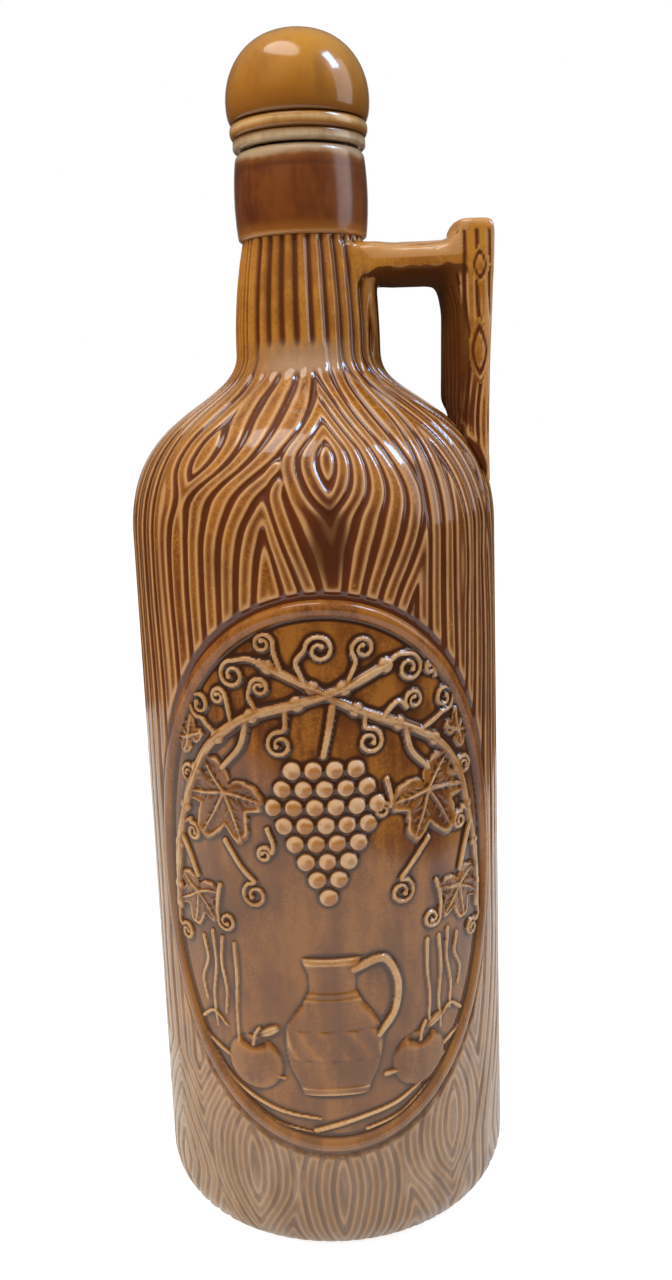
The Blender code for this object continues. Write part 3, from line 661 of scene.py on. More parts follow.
def grain_material():
    """Brown glaze over carved grain: dark in the grooves, broken pale along the ridges' edges, with painted
    shade on the handle and in its hole, a painted milky reflection of the table low on the body and a painted
    glare on the front of the neck's foot.
    """
    c = colours()
    material, shader = new_material("grain_glaze_brown")
    groove = shader.value("grain")
    tone = shader.value("tone")
    up = shader.axis("Z")
    coarse = shader.noise(90, 3, .6)
    specks = shader.noise(1500, 2, .7)
    streaks = shader.noise(260, 3, .6, stretch=(1, 1, .22))
    neck = shader.step(up, .200, .216)
    # low: partly thinner glaze, partly the painted reflection of the pale table top
    low = milky_and_reflected_haze_of(shader)
    thin = shader.step(tone + (coarse - .5) * .9 + (streaks - .5) * .7 + (specks - .5) * .35, .22, .85)
    band = shader.mix(thin, c["red"], c["amber"])
    gold = shader.step(specks * .5 + streaks * .5 + (tone - .5) * .3, .52, .68)
    band = shader.mix(gold * .6, band, c["gold"])
    break_in = shader.step(groove, .15, .225)
    break_out = 1 - shader.step(groove + (streaks - .5) * .16 + (coarse - .5) * .10, .25, .42)
    strength = shader.step(coarse * .5 + streaks * .5, .30, .52) * .5 + .5
    pale = shader.mix(shader.step(specks, .35, .7) * .5, c["pale"], c["cream"])
    ridge = shader.mix(break_in * break_out * strength * (1 - neck), band, pale)
    # foot and low together paint the table's milky reflection over the ridges and hollows near the bottom
    foot = 1 - shader.step(up + (coarse - .5) * .02, .016, .058)
    milky_and_reflected = shader.mix(shader.step(streaks * .5 + tone * .5, .38, .58), (.19, .120, .064), (.37, .265, .175))
    ridge = shader.mix(low * .36 + foot * .26, ridge, milky_and_reflected)
    neck_ridge = shader.mix(shader.step(specks * .3 + coarse * .7, .38, .62), c["amber"], c["gold"])
    ridge = shader.mix(neck, ridge, neck_ridge)
    hollow = shader.mix(shader.step(coarse * .6 + streaks * .4, .38, .62), c["dark"], c["red"])
    # the hollows turn milky too: painted reflection of the table
    hollow = shader.mix(low * .22 + foot * .30, hollow, (.20, .135, .080))
    inside = 1 - shader.step(groove + low * .09, .115, .210)
    neck_inside = 1 - shader.step(groove, .08, .34)
    amount = inside * (1 - neck) + neck_inside * neck
    colour = shader.mix(amount, ridge, hollow)
    # real pooling and painted shade: where tone falls below about .2 the glaze goes dark and loses its coat;
    # on the body that is thick glaze, while on the handle's underside, its faces towards the neck and inside
    # the hole it is painted shade
    pooled_and_shaded = 1 - shader.step(tone, .02, .22)
    colour = shader.mix(pooled_and_shaded * .85, colour, (.075, .019, .005))
    edge = shader.step(shader.value("edge") + (streaks - .5) * .3, .30, .85) * shader.step(groove, .08, .25)
    colour = shader.mix(edge * .8, colour, pale)
    # painted glare: a soft pale patch on the front of the neck's foot, lighter than the glaze there
    across, away = shader.axis("X"), shader.axis("Y")
    soft = shader.step(up + (coarse - .5) * .003, .2062, .2095) * (1 - shader.step(up, .2118, .2165))
    soft = soft * shader.step(across, -.015, -.005) * (1 - shader.step(across, .004, .013))
    soft = soft * (1 - shader.step(away, -.006, 0))
    colour = shader.mix(soft * .55, colour, (.40, .27, .175))
    glaze(shader, colour, .30 + (coarse - .5) * .1 + pooled_and_shaded * .5, shader.bump(specks, .10, .0002),
          coat=1 - pooled_and_shaded)
    return material


def collar_material():
    """Thick smooth red-brown glaze, amber along the lower rim and pale at the lip."""
    c = colours()
    material, shader = new_material("collar_glaze_brown")
    up = shader.axis("Z")
    coarse = shader.noise(110, 3, .6)
    streaks = shader.noise(160, 3, .6, stretch=(1, 1, .3))
    colour = shader.mix(shader.step(streaks * .6 + coarse * .4, .38, .62), (.115, .024, .005),
                        (.205, .055, .008))
    rim = 1 - shader.step(up + (coarse - .5) * .0025, .2392, .2422)
    colour = shader.mix(rim * .7, colour, c["amber"])
    edge = 1 - shader.step(up + (streaks - .5) * .0008, .2386, .2398)
    colour = shader.mix(edge * .8, colour, c["pale"])
    under = shader.step(up + (coarse - .5) * .0012, .2526,
                        .2534) * (1 - shader.step(up + (coarse - .5) * .0012, .2536, .2544))
    colour = shader.mix(under * .55, colour, c["dark"])
    lip = shader.step(up + (coarse - .5) * .0034, .2540, .2562)
    colour = shader.mix(lip * .5, colour, c["amber"])
    colour = shader.mix(shader.step(up + (coarse - .5) * .0034, .2550, .2566) * .85, colour, (.52, .36, .21))
    # painted shade: a dark line on the lip's top, under the stopper's overhanging flange
    joint = shader.step(up, .2573, .2580)
    colour = shader.mix(joint * .85, colour, (.07, .040, .014))
    glaze(shader, colour, .3, shader.bump(coarse, .15, .0006), blur=.19)
    return material


def inside_material():
    c = colours()
    material, shader = new_material("inside_glaze_brown")
    mottle = shader.noise(120, 3, .6)
    colour = shader.mix(shader.step(mottle, .4, .6), c["red"], (.16, .05, .012))
    glaze(shader, colour, .35)
    return material


def foot_material():
    """The bare stoneware ring that the bottle stands on, with glaze drawn up in the hollow."""
    c = colours()
    material, shader = new_material("foot_stoneware")
    mottle, specks = shader.noise(120, 3, .6), shader.noise(1400, 2, .6)
    colour = shader.mix(shader.step(mottle, .35, .65), (.42, .27, .16), (.50, .35, .22))
    colour = shader.mix(shader.step(specks, .62, .72) * .5, colour, (.16, .08, .04))
    glazed = shader.step(shader.axis("Z"), .0008, .0018)
    colour = shader.mix(glazed, colour, c["red"])
    glaze(shader, colour, .85 - glazed * .5, shader.bump(specks, .2, .0002), coat=glazed)
    return material


def panel_material():
    """Brown glaze that breaks ochre over the relief and lies dark in its hollows."""
    c = colours()
    material, shader = new_material("panel_glaze_brown")
    lift = shader.value("lift")
    grape = shader.value("grape")
    rim = shader.value("rim")
    coarse = shader.noise(80, 3, .6)
    drips = shader.noise(150, 3, .6, stretch=(1, 1, .28))
    specks = shader.noise(1500, 2, .7)
    # low: partly thinner glaze, partly the painted reflection of the pale table top, which turns the field,
    # its hollows and the rim milky low down
    low = milky_and_reflected_haze_of(shader)
    field = shader.mix(shader.step(coarse * .5 + drips * .5, .36, .60), (.115, .028, .004),
                       (.235, .074, .011))
    field = shader.mix(shader.step(drips * .7 + specks * .3, .47, .63) * .8, field, (.37, .135, .018))
    field = shader.mix(low * .45, field, (.20, .095, .040))
    flank = shader.mix(shader.step(drips, .35, .65), (.20, .065, .012), (.36, .145, .030))
    crest = shader.mix(shader.step(specks * .4 + coarse * .6, .36, .62), (.44, .21, .075), (.60, .36, .17))
    colour = shader.mix(shader.step(lift, .03, .16), field, flank)
    colour = shader.mix(shader.step(lift, .16, .42), colour, crest)
    # dark hollows, turned milky low down by that painted reflection
    colour = shader.mix(1 - shader.step(lift, -.26, -.04), colour,
                        shader.mix(low * .4, (.050, .014, .003), (.12, .060, .028)))
    berry = shader.mix(shader.step(grape + (shader.noise(260, 2, .5) - .5) * .9, .70, .92), (.60, .36, .19),
                       (.40, .16, .040))
    colour = shader.mix(shader.step(grape, .2, .4) * shader.step(lift, -.02, .14), colour, berry)
    rim_colour = shader.mix(shader.step(drips * .7 + specks * .3, .38, .60), (.17, .048, .009),
                            (.36, .125, .020))
    # the rim turns milky low down too: painted reflection of the table
    colour = shader.mix(rim, colour, shader.mix(low * .45, rim_colour, (.24, .13, .06)))
    glaze(shader, colour, .32, shader.bump(specks, .08, .0002))
    return material


def stopper_material():
    """Amber glaze on the dome, running brown towards its foot, pale on the rings."""
    c = colours()
    material, shader = new_material("stopper_glaze_amber")
    up = shader.axis("Z") + (shader.noise(80, 2, .5) - .5) * .001
    coarse = shader.noise(70, 3, .6)
    streaks = shader.noise(300, 2, .6, stretch=(1, 1, .25))
    specks = shader.noise(1300, 2, .7)
    bands = shader.ramp((up - .2580) / .0270, [
        (.00, (.40, .28, .16)), (.05, (.58, .42, .25)), (.075, (.48, .31, .15)), (.098, (.12, .045, .010)),
        (.118, (.22, .08, .014)), (.145, (.46, .20, .040)), (.180, (.72, .46, .20)), (.208, (.50, .22, .04)),
        (.222, (.09, .03, .006)), (.245, (.26, .09, .012)), (.45, (.40, .150, .012)), (.80, (.50, .21, .018)),
        (1.0, (.46, .20, .022))])
    colour = shader.mix(shader.step(coarse * .6 + streaks * .4, .46, .66) * .45, bands, (.24, .085, .012))
    right = shader.step(shader.axis("X") + (streaks - .5) * .004, .0035,
                        .0050) * (1 - shader.step(shader.axis("X"), .0052, .0075))
    streak = right * shader.step(up, .2655, .2680) * (1 - shader.step(up, .2735, .2775))
    streak = streak * (1 - shader.step(shader.axis("Y"), -.006, 0))
    colour = shader.mix(streak * .45, colour, (.20, .07, .012))
    colour = shader.mix(shader.step(specks, .6, .75) * .12, colour, c["dark"])
    glaze(shader, colour, .30, shader.bump(coarse, .12, .0008), blur=.12)
    return material


def cork_material():
    c = colours()
    material, shader = new_material("cork_bare")
    grains = shader.node("ShaderNodeTexVoronoi", {"feature": "F1"}, {"Vector": shader.place(), "Scale": 650},
                         output="Color")
    shade = shader.node("ShaderNodeSeparateXYZ", inputs={0: grains}, output="X")
    pits = shader.noise(420, 3, .7, stretch=(1, 1, .4))
    colour = shader.mix(shade * .5, c["cork"], (.62, .42, .23))
    colour = shader.mix(shader.step(pits, .60, .68), colour, (.17, .085, .035))
    glaze(shader, colour, .85, shader.bump(1 - shader.step(pits, .58, .68), .5, .0004), coat=0.0)
    return material


# The body's skin


def skin(name, side, upper):
    """One quarter of the carved skin: the front or back half, above or below the split."""
    b, g, p = sizes("bottle_sizes"), bpy.context.scene.grain_sizes, sizes("panel_sizes")
    radii, heights, along = outside_profile()
    split = np.interp(g.split_z / MM, heights, along)
    start, end = (split, along[-1]) if upper else (0, split)
    columns = g.front_columns if side == "front" else g.back_columns
    rows = g.upper_rows if upper else g.lower_rows
    piece, across, up = grid(columns, rows)
    distance = start + (end - start) * up
    radius, z = np.interp(distance, along, radii), np.interp(distance, along, heights)
    lean_r, lean_z = np.interp(distance + .2, along, radii) - np.interp(distance - .2, along, radii), \
        np.interp(distance + .2, along, heights) - np.interp(distance - .2, along, heights)
    length = np.hypot(lean_r, lean_z)
    out_r, out_z = lean_z / length, -lean_r / length
    turn = math.pi * (across - .5) + (0 if side == "front" else math.pi)
    s = b["body_radius"] * turn
    s = (s + math.pi * b["body_radius"]) % (2 * math.pi * b["body_radius"]) - math.pi * b["body_radius"]
    w = spread_out(piece, grain(s, z, b["body_radius"])[:, None], 5)[:, 0]
    outside = oval_distance(s, z - p["centre_z"], p["half_width"],
                            p["half_height"]) if side == "front" else np.full(len(s), 99.0)
    w = soft_min(w, np.clip((outside - .5) / 5.4, 0, .62))
    out = swell(turn, radius, z, out_r, out_z) * smoothstep(237.6, 235.8, z)
    radius, z = radius + out * out_r, z + out * out_z
    on_neck = smoothstep(203, 214, z)
    root = smoothstep(229.5, 233, z) * smoothstep(.3, 2.0, out)
    w = w + (.5 - w) * root
    degrees = np.degrees(s / b["body_radius"])
    smooth_foot = smoothstep(206.5, 209.5, z) * smoothstep(215.5, 212.5, z) * smoothstep(-48, -38, degrees)
    smooth_foot = smooth_foot * smoothstep(24, 12, degrees)
    w = w + (.40 - w) * smooth_foot * .62
    from_edge = np.abs(radius * np.cos(turn)) - web_half(z)
    beside_hole = smoothstep(.3, .6, np.sin(turn)) * smoothstep(205, 213, z) * smoothstep(232.6, 231.4, z)
    inner = beside_hole * smoothstep(.2, -.6, from_edge)
    w = w + (.5 - w) * np.maximum(inner, smoothstep(-.4, .3, from_edge) * smoothstep(1.5, .8, from_edge)
                                  * beside_hole)
    body_depth = g.depth / MM * (1 - smoothstep(.03, .25, w))
    rib_depth = g.neck_depth / MM * (.5 + .5 * np.cos(2 * math.pi * w))
    depth = body_depth * (1 - on_neck) + rib_depth * on_neck
    depth += (g.channel - g.depth) / MM * (1 - smoothstep(.4, 2.2, outside))
    depth *= smoothstep(.4, 4.0, z) * (1 - smoothstep(237.2, 238.4, z) * .6)
    radius, z_out = radius - depth * out_r, z - depth * out_z
    place_vertices(piece, np.stack([radius * np.sin(turn), -radius * np.cos(turn), z_out], 1))
    attribute(piece, "grain", w)
    # painted shade: inside the hole, beside the web, tone drops to nothing, so the glaze there renders pooled
    # dark
    attribute(piece, "tone", tone(s, z) * (1 - inner))
    attribute(piece, "edge",
              .85 * beside_hole * smoothstep(-.4, .3, from_edge) * smoothstep(1.5, .8, from_edge))
    if side == "front":
        delete_vertices(piece, outside < -2.2)
    return piece


ARM_ROOT = {"reach": 21.0, "half": 10.4, "low": 230.0, "high": 235.4}
WEB = {"reach": 16.3, "top_half": 8.6, "foot_half": 3.2, "foot": 203.0}


def block_distance(x, y, z, reach, half, low, high, rounding):
    """Distance outside a block with rounded edges that runs out from the axis towards the handle, in mm."""
    off = [x - reach, np.abs(y) - half, np.abs(z - (low + high) / 2) - (high - low) / 2]
    off = [part + rounding for part in off]
    outer = np.sqrt(sum(np.maximum(part, 0) ** 2 for part in off))
    return outer + np.minimum(np.maximum(np.maximum(off[0], off[1]), off[2]), 0) - rounding


def blend(a, b, reach):
    """The nearer of two distances, with a hollow curve where they meet."""
    close = np.maximum(reach - np.abs(a - b), 0) / reach
    return np.minimum(a, b) - close * close * reach / 4


def web_half(z):
    """Half the width of the web that runs down the neck under the arm."""
    return WEB["foot_half"] + (WEB["top_half"] - WEB["foot_half"]) * smoothstep(206, 230, z)


def swell(turn, radius, z, out_r, out_z):
    """How far each point moves out to take in the arm's root and the web under it, in mm."""
    radii, heights, along = outside_profile()
    zone = np.nonzero((np.sin(turn) > .2) & (z > 198))[0]
    r, up, way_r, way_z = radius[zone], z[zone], out_r[zone], out_z[zone]
    across, deep = np.sin(turn[zone]), -np.cos(turn[zone])
    low, high = np.zeros(len(zone)), np.full(len(zone), 12.0)
    for _ in range(22):
        middle = (low + high) / 2
        rho, level = r + middle * way_r, up + middle * way_z
        x, y = rho * across, rho * deep
        wall = (rho - np.interp(level, heights, radii)) * way_r
        web = block_distance(x, y, level, WEB["reach"], web_half(level), WEB["foot"], 240, 1.6)
        arm = block_distance(x, y, level, ARM_ROOT["reach"], ARM_ROOT["half"], ARM_ROOT["low"],
                             ARM_ROOT["high"], 1.3)
        inside = blend(wall, blend(web, arm, 4.0), 3.6) < 0
        low, high = np.where(inside, middle, low), np.where(inside, high, middle)
    out = np.zeros(len(z))
    out[zone] = low
    return out


TONES = [  # (degrees round, height, reach round, reach up, more gold or less)
    (4, 172, 9, 14, -.55), (-50, 196, 22, 12, .35), (-30, 178, 10, 16, .1), (-62, 160, 14, 30, -.2),
    (-8, 200, 12, 8, .25), (30, 190, 14, 12, .1), (30, 165, 12, 14, -.15), (60, 160, 18, 30, -.2),
    (-80, 110, 16, 40, -.25), (75, 110, 16, 40, -.2), (2, 14, 34, 24, -.16), (0, 3, 60, 8, -.08),
]


def tone(s, z):
    value = np.full(len(s), .5)
    degrees = np.degrees(s / 44.2)
    for at, height, wide, tall, amount in TONES:
        off = (degrees - at + 180) % 360 - 180
        value += amount * np.exp(-(off / wide) ** 2 - ((z - height) / tall) ** 2)
    return np.clip(value, 0, 1)


class DECANTER_OT_body(bpy.types.Operator):
    """Wraps the carved wood-grain skin round the body, the shoulder and the neck"""

    bl_idname = "decanter.body"
    bl_label = "Carved body"

    def execute(self, context):
        lay_guides()
        material = grain_material()
        for side in ("front", "back"):
            for upper in (True, False):
                name = f"body_{side}_{'upper' if upper else 'lower'}"
                finish_piece(skin(name, side, upper), name, "bottle", material,
                             ["bottle_body"])
        return {"FINISHED"}


class DECANTER_OT_collar(bpy.types.Operator):
    """Turns the collar, the lip, the inside wall and the foot"""

    bl_idname = "decanter.collar"
    bl_label = "Collar, inside and foot"

    def execute(self, context):
        b = sizes("bottle_sizes")
        low, top = b["collar_z"], b["mouth_z"]
        height = top - low
        profile = [(b["neck_top_radius"] - .9, low + .5), (b["neck_top_radius"] - .2, low - .05)]
        for i in range(9):
            turn = math.radians(-90 + 90 * i / 8)
            profile.append((b["collar_end_radius"] - .8 + .8 * math.cos(turn),
                            low + .8 + .8 * math.sin(turn)))
        for i in range(1, 24):
            share = i / 24
            bulge = math.sin(math.pi * share) ** .8
            profile.append((b["collar_end_radius"] + (b["collar_radius"] - b["collar_end_radius"]) * bulge,
                            low + .8 + (height - 2.8) * share))
        for i in range(13):
            turn = math.radians(90 * i / 12)
            profile.append((b["collar_end_radius"] - 2 + 2 * math.cos(turn), top - 2 + 2 * math.sin(turn)))
        for i in range(1, 7):
            turn = math.radians(90 - 90 * i / 6)
            profile.append((b["mouth_radius"] + .6 - .6 * math.cos(math.radians(90 * i / 6)) ** 0
                            * math.sin(math.radians(90 * i / 6)),
                            top - .6 + .6 * math.cos(math.radians(90 * i / 6))))
        profile.append((10.0, top - 26))
        collar = turned(profile, 220)
        finish_piece(collar, "collar_and_lip", "bottle", collar_material(), ["bottle_body"],
                     angle=40)

        radii, heights, along = outside_profile()
        wall = b["wall"]
        inner = [(10.0, top - 26)]
        for z in (228, 224, 220, 216, 213, 211, 209, 207, 205, 203, 201, 199, 197, 195, 193, 191, 188, 185,
                  182, 178, 174, 170, 160):
            outer = float(np.interp(z + wall * .7, heights, radii))
            inner.append((max(9.4, min(outer - wall, b["body_radius"] - wall)), z))
        inner.append((b["body_radius"] - wall, 16))
        for i in range(1, 9):
            turn = math.radians(90 * i / 8)
            inner.append((b["body_radius"] - wall - 8 + 8 * math.cos(turn), 14.5 - 8 * math.sin(turn)))
        inner.append((0, 6.5))
        inside = turned(inner, 96)
        deselect()
        inside.select_set(True)
        bpy.context.view_layer.objects.active = inside
        bpy.ops.object.mode_set(mode="EDIT")
        bpy.ops.mesh.select_all(action="SELECT")
        bpy.ops.mesh.normals_make_consistent(inside=True)
        bpy.ops.object.mode_set(mode="OBJECT")
        finish_piece(inside, "inside_wall", "bottle", inside_material(), ["bottle_body"],
                     angle=60)

        foot_in = b["foot_radius"] - b["foot_width"]
        under = [(b["foot_radius"], 0)]
        under += [(b["foot_radius"] - b["foot_width"] * i / 4, 0) for i in range(1, 5)]
        for i in range(1, 7):
            turn = math.radians(90 * i / 6)
            under.append((foot_in - 1.5 * math.sin(turn), b["foot_recess"] * (1 - math.cos(turn))))
        under += [(foot_in * share, b["foot_recess"]) for share in (.8, .5, .2)] + [(0, b["foot_recess"])]
        foot = turned(under, 220)
        finish_piece(foot, "foot_and_base", "bottle", foot_material(), ["bottle_body"],
                     angle=40)
        return {"FINISHED"}


# The handle


def handle_grain(points, outward):
    """The grain on the handle: up the slab, along the arm, and up the neck where the arm grows out of it."""
    x, y, z = points.T
    half = (22 + 5 * (x - 14.2) / 28.9) / 2
    centre_x = 38.9
    on_side = (np.abs(np.abs(y) - half) < np.abs(np.abs(x - centre_x) - 4.2)) & (np.abs(y) > half - 4)
    face = np.where(x > centre_x, y, np.sign(y) * (2 * half + 8.4) - y)
    u = np.where(on_side, np.sign(y) * (half + (centre_x + 4.2 - x)), face)
    slab = (u + .5 * np.sin(z / 9) + .35 * np.sin(z / 4.1 + y / 5)) / 2.6 + .42
    for at, height, reach, width in [(-half - 3.3, 211.5, 7.2, 2.3), (-half - 3.0, 230.5, 4.2, 1.9),
                                     (half + 4.0, 216, 8, 3.0)]:
        ring = np.sqrt((u - at) ** 2 + .09) / width + np.abs((z - height) / reach) ** 1.6 + .30
        slab = np.where(ring < 1.5, ring, slab)
    top = 237.7
    arm = (np.where(np.abs(y) > half - 2.6, np.sign(y) * (half + (top - z)), y)
           + .3 * np.sin(x / 3.7)) / 1.5 + .2
    on_arm = x < 33.0
    w = np.abs((np.where(on_arm, arm, slab) + .5) % 1 - .5)
    fade = np.where(z > 226, smoothstep(.6, 2.2, np.abs(x - 33.0)), 1)
    fade = fade * np.where(on_arm, smoothstep(17, 26, x) * smoothstep(233.6, 234.8, z) * .9,
                           1) * smoothstep(239.2, 238.0, z)
    w = .5 - (.5 - w) * fade
    turn = np.arctan2(x, -y)
    root = smoothstep(4.0, 1.2, outward) * smoothstep(237.5, 234.5, z)
    return w + (grain(44.2 * turn, z, 44.2) - w) * root


class DECANTER_OT_handle(bpy.types.Operator):
    """Flares the slab handle's roots into the body, rounds it all over and carves its grain"""

    bl_idname = "decanter.handle"
    bl_label = "Handle"

    def execute(self, context):
        radii, heights, along = outside_profile()
        piece = merged_copy("handle", "handle_carved")
        modify(piece, "REMESH", mode="VOXEL", voxel_size=.00042, use_smooth_shade=True)
        modify(piece, "SMOOTH", factor=.5, iterations=12)
        points, normals = points_of(piece), normals_of(piece)
        x, y, z = points.T
        half = (22 + 5 * (x - 14.2) / 28.9) / 2
        middle = 1 - np.clip(np.abs(y) / half, 0, 1) ** 2
        # the finger's hole closes in from above and from the slab, round its corner
        dx, dz = x - 26, np.maximum(z - 218, -6)
        away = np.maximum(np.hypot(dx, dz), .01)
        near = smoothstep(1.62, 1.15, ((dx / 8.7) ** 4 + (dz / 13) ** 4) ** .25)
        from_top = smoothstep(.1, .95, dz / away) * (1.7 + 1.2 * middle) * smoothstep(14, 20, x)
        from_slab = smoothstep(.1, .8, dx / away) * (.5 + 1.4 * smoothstep(-9, 5, y)) * smoothstep(196, 201,
                                                                                                   z)
        pull = near * np.hypot(from_top, from_slab)
        way_x, way_z = dx ** 3 / 8.7 ** 4, dz ** 3 / 13 ** 4
        size = np.maximum(np.hypot(way_x, way_z), 1e-6)
        x_new, z_new = x - pull * way_x / size, z - pull * way_z / size
        # the thumb knob is a little larger, and the board leans out towards its top
        knob = smoothstep(238.3, 240.5, z)
        z_new = z_new + knob
        x_new = x_new - 1.2 * knob * smoothstep(41, 36, x) + .9 * smoothstep(200, 240,
                                                                             z) * smoothstep(38.5, 42.5, x)
        # below the arm the root draws back under the skin's web
        x_new = x_new - 4.0 * smoothstep(231.5, 227, z) * smoothstep(25, 19, x) * smoothstep(210, 214, z)
        points = np.stack([x_new, y, z_new], 1)
        # the roots widen in a hollow curve as they run into the body
        outward = np.hypot(points[:, 0], points[:, 1]) - np.interp(points[:, 2], heights, radii)
        share = np.clip(1 - outward / 4.2, 0, 1.3)
        level = np.clip(1.1 - np.maximum(normals[:, 2], 0) * 1.2, 0, 1)
        flare = np.where(z > 222, .3, 1.2) * share ** 2.2 * level
        points = points + normals * np.stack([flare * .3, flare, flare], 1)
        place_vertices(piece, points)
        points = spread_out(piece, points, 10)
        outward = np.hypot(points[:, 0], points[:, 1]) - np.interp(points[:, 2], heights, radii)
        sink = np.clip(.25 - outward, 0, 2.0)
        around = np.hypot(points[:, 0], points[:, 1])
        points[:, :2] -= points[:, :2] / around[:, None] * sink[:, None]
        place_vertices(piece, points)
        normals = normals_of(piece)
        convex = ((points - spread_out(piece, points, 14)) * normals).sum(1)
        around = np.hypot(points[:, 0], points[:, 1])
        outward = around - np.interp(points[:, 2], heights, radii)
        w = handle_grain(points, outward)
        depth = .42 * (1 - smoothstep(.04, .25, w)) * smoothstep(-.1, 1.0, outward)
        place_vertices(piece, points - normals * depth[:, None])
        x, y, z = points.T
        on_slab = smoothstep(31, 33, x) * smoothstep(232.5, 229.5, z) * smoothstep(1.5, 6, outward)
        # painted light and shade in the tone: lighter towards the arm's top, darker on the slab beside the
        # hole, on faces turned towards the neck and on the arm's underside
        shade = .55 + .25 * smoothstep(233, 237, z) \
            - .38 * smoothstep(40.0, 38.6, x) * on_slab - .4 * smoothstep(37.6, 36.6, x) * on_slab \
            - 1.2 * smoothstep(.25, .8, -normals[:, 0]) * (x > 30) \
            - 1.2 * smoothstep(.15, .7, -normals[:, 2]) * (z > 212) * smoothstep(1.0, 3.0, outward)
        attribute(piece, "grain", np.clip(w + .04, 0, .5))
        lower = smoothstep(233.4, 232.0, z) * (x < 34) * (normals[:, 2] > -.5)
        shade = shade - lower * (.12 + .22 * np.sin(x * 1.15 + 1.2) * np.sin(x * .47))
        # the tone carries that painted light and shade, with the glaze's red patches along the arm's lower
        # front
        attribute(piece, "tone", np.clip(shade, 0, 1))
        # painted highlight: pale threads of light along the rounded top of the arm's front
        threads = .80 + .20 * np.sin(z * 7.5 + .4 * np.sin(x * .8))
        highlight_top = threads * smoothstep(232.2, 233.6, z) * smoothstep(39, 35, x) * smoothstep(1, 5, outward)
        pale_board = .6 * smoothstep(40.6, 41.6, x) * (z < 238)
        lines = .7 * smoothstep(.13, .20, w) * (1 - smoothstep(.27, .42, w)) * smoothstep(39.0, 40.0, x)
        lines = lines * smoothstep(238, 236, z)
        tongues = sum(np.exp(-((x - at) / .33) ** 2) for at in (35.6, 37.2, 38.7)) * smoothstep(212, 221, z) \
            * smoothstep(230, 227.5, z) * smoothstep(.3, .8, -normals[:, 1])
        convex = np.clip(convex / .22, 0, 1) * smoothstep(.5, 2.5, outward)
        # edge: glaze broken pale over convex edges, on the board and in the tongues, and the painted
        # highlight on the arm's top
        attribute(piece, "edge",
                  convex + np.maximum(np.maximum(highlight_top, pale_board), np.maximum(lines, .8 * tongues)))
        finish_piece(piece, "handle_carved", "bottle", bpy.data.materials["grain_glaze_brown"],
                     ["handle"])
        return {"FINISHED"}


def curve_points(knots, step=.35):
    """A smooth line through the knots, as evenly spaced points."""
    knots = np.array(knots, float)
    ends = np.concatenate([[2 * knots[0] - knots[1]], knots, [2 * knots[-1] - knots[-2]]])
    out = []
    for a, b, c, d in zip(ends, ends[1:], ends[2:], ends[3:]):
        count = max(2, int(np.linalg.norm(c - b) / step))
        t = np.linspace(0, 1, count, endpoint=False)[:, None]
        out.append(.5 * (2 * b + (c - a) * t + (2 * a - 5 * b + 4 * c - d) * t ** 2
                         + (3 * b - a - 3 * c + d) * t ** 3))
    return np.concatenate([*out, knots[-1:]])


def curl(stem, centre, start, way=1, radius=3.2, turns=1.35, inner=.3):
    """A tendril: a stem that runs into a spiral, which winds inwards from a share of a turn."""
    t = np.linspace(0, 1, 16)
    angle = 2 * math.pi * (start + way * turns * t)
    reach = radius * (1 - (1 - inner) * t)
    spiral = np.stack([centre[0] + reach * np.cos(angle), centre[1] + reach * np.sin(angle)], 1)
    return curve_points([*stem, *spiral])


# half a vine leaf: direction from its tip as a share of half a turn, and reach as a share of its length
LEAF_SIDE = [(0, 1), (.05, .92), (.10, .80), (.15, .62), (.17, .58), (.20, .68), (.25, .86), (.29, .91),
             (.34, .82), (.40, .66),
             (.45, .54), (.47, .52), (.51, .60), (.56, .71), (.62, .74), (.70, .66), (.80, .50), (.90, .36),
             (1, .14)]
LEAF_VEINS = [(0, .86), (.29, .78), (-.29, .78), (.62, .62), (-.62, .62)]
# the jug's side from foot to rim: height and radius as shares of the jug's
JUG_SIDE = [(0, .64), (.03, .68), (.08, .72), (.18, .88), (.36, 1), (.50, .96), (.60, .78), (.68, .60),
            (.78, .45), (.88, .46),
            (.95, .54), (1, .60)]
GRAPE_ROWS = (4, 5, 6, 5, 4, 3, 2, 1)
GRAPE_PITCH = 4.7
HIGHEST = .88        # mm that the relief may stand above the body, just under the rim's crown


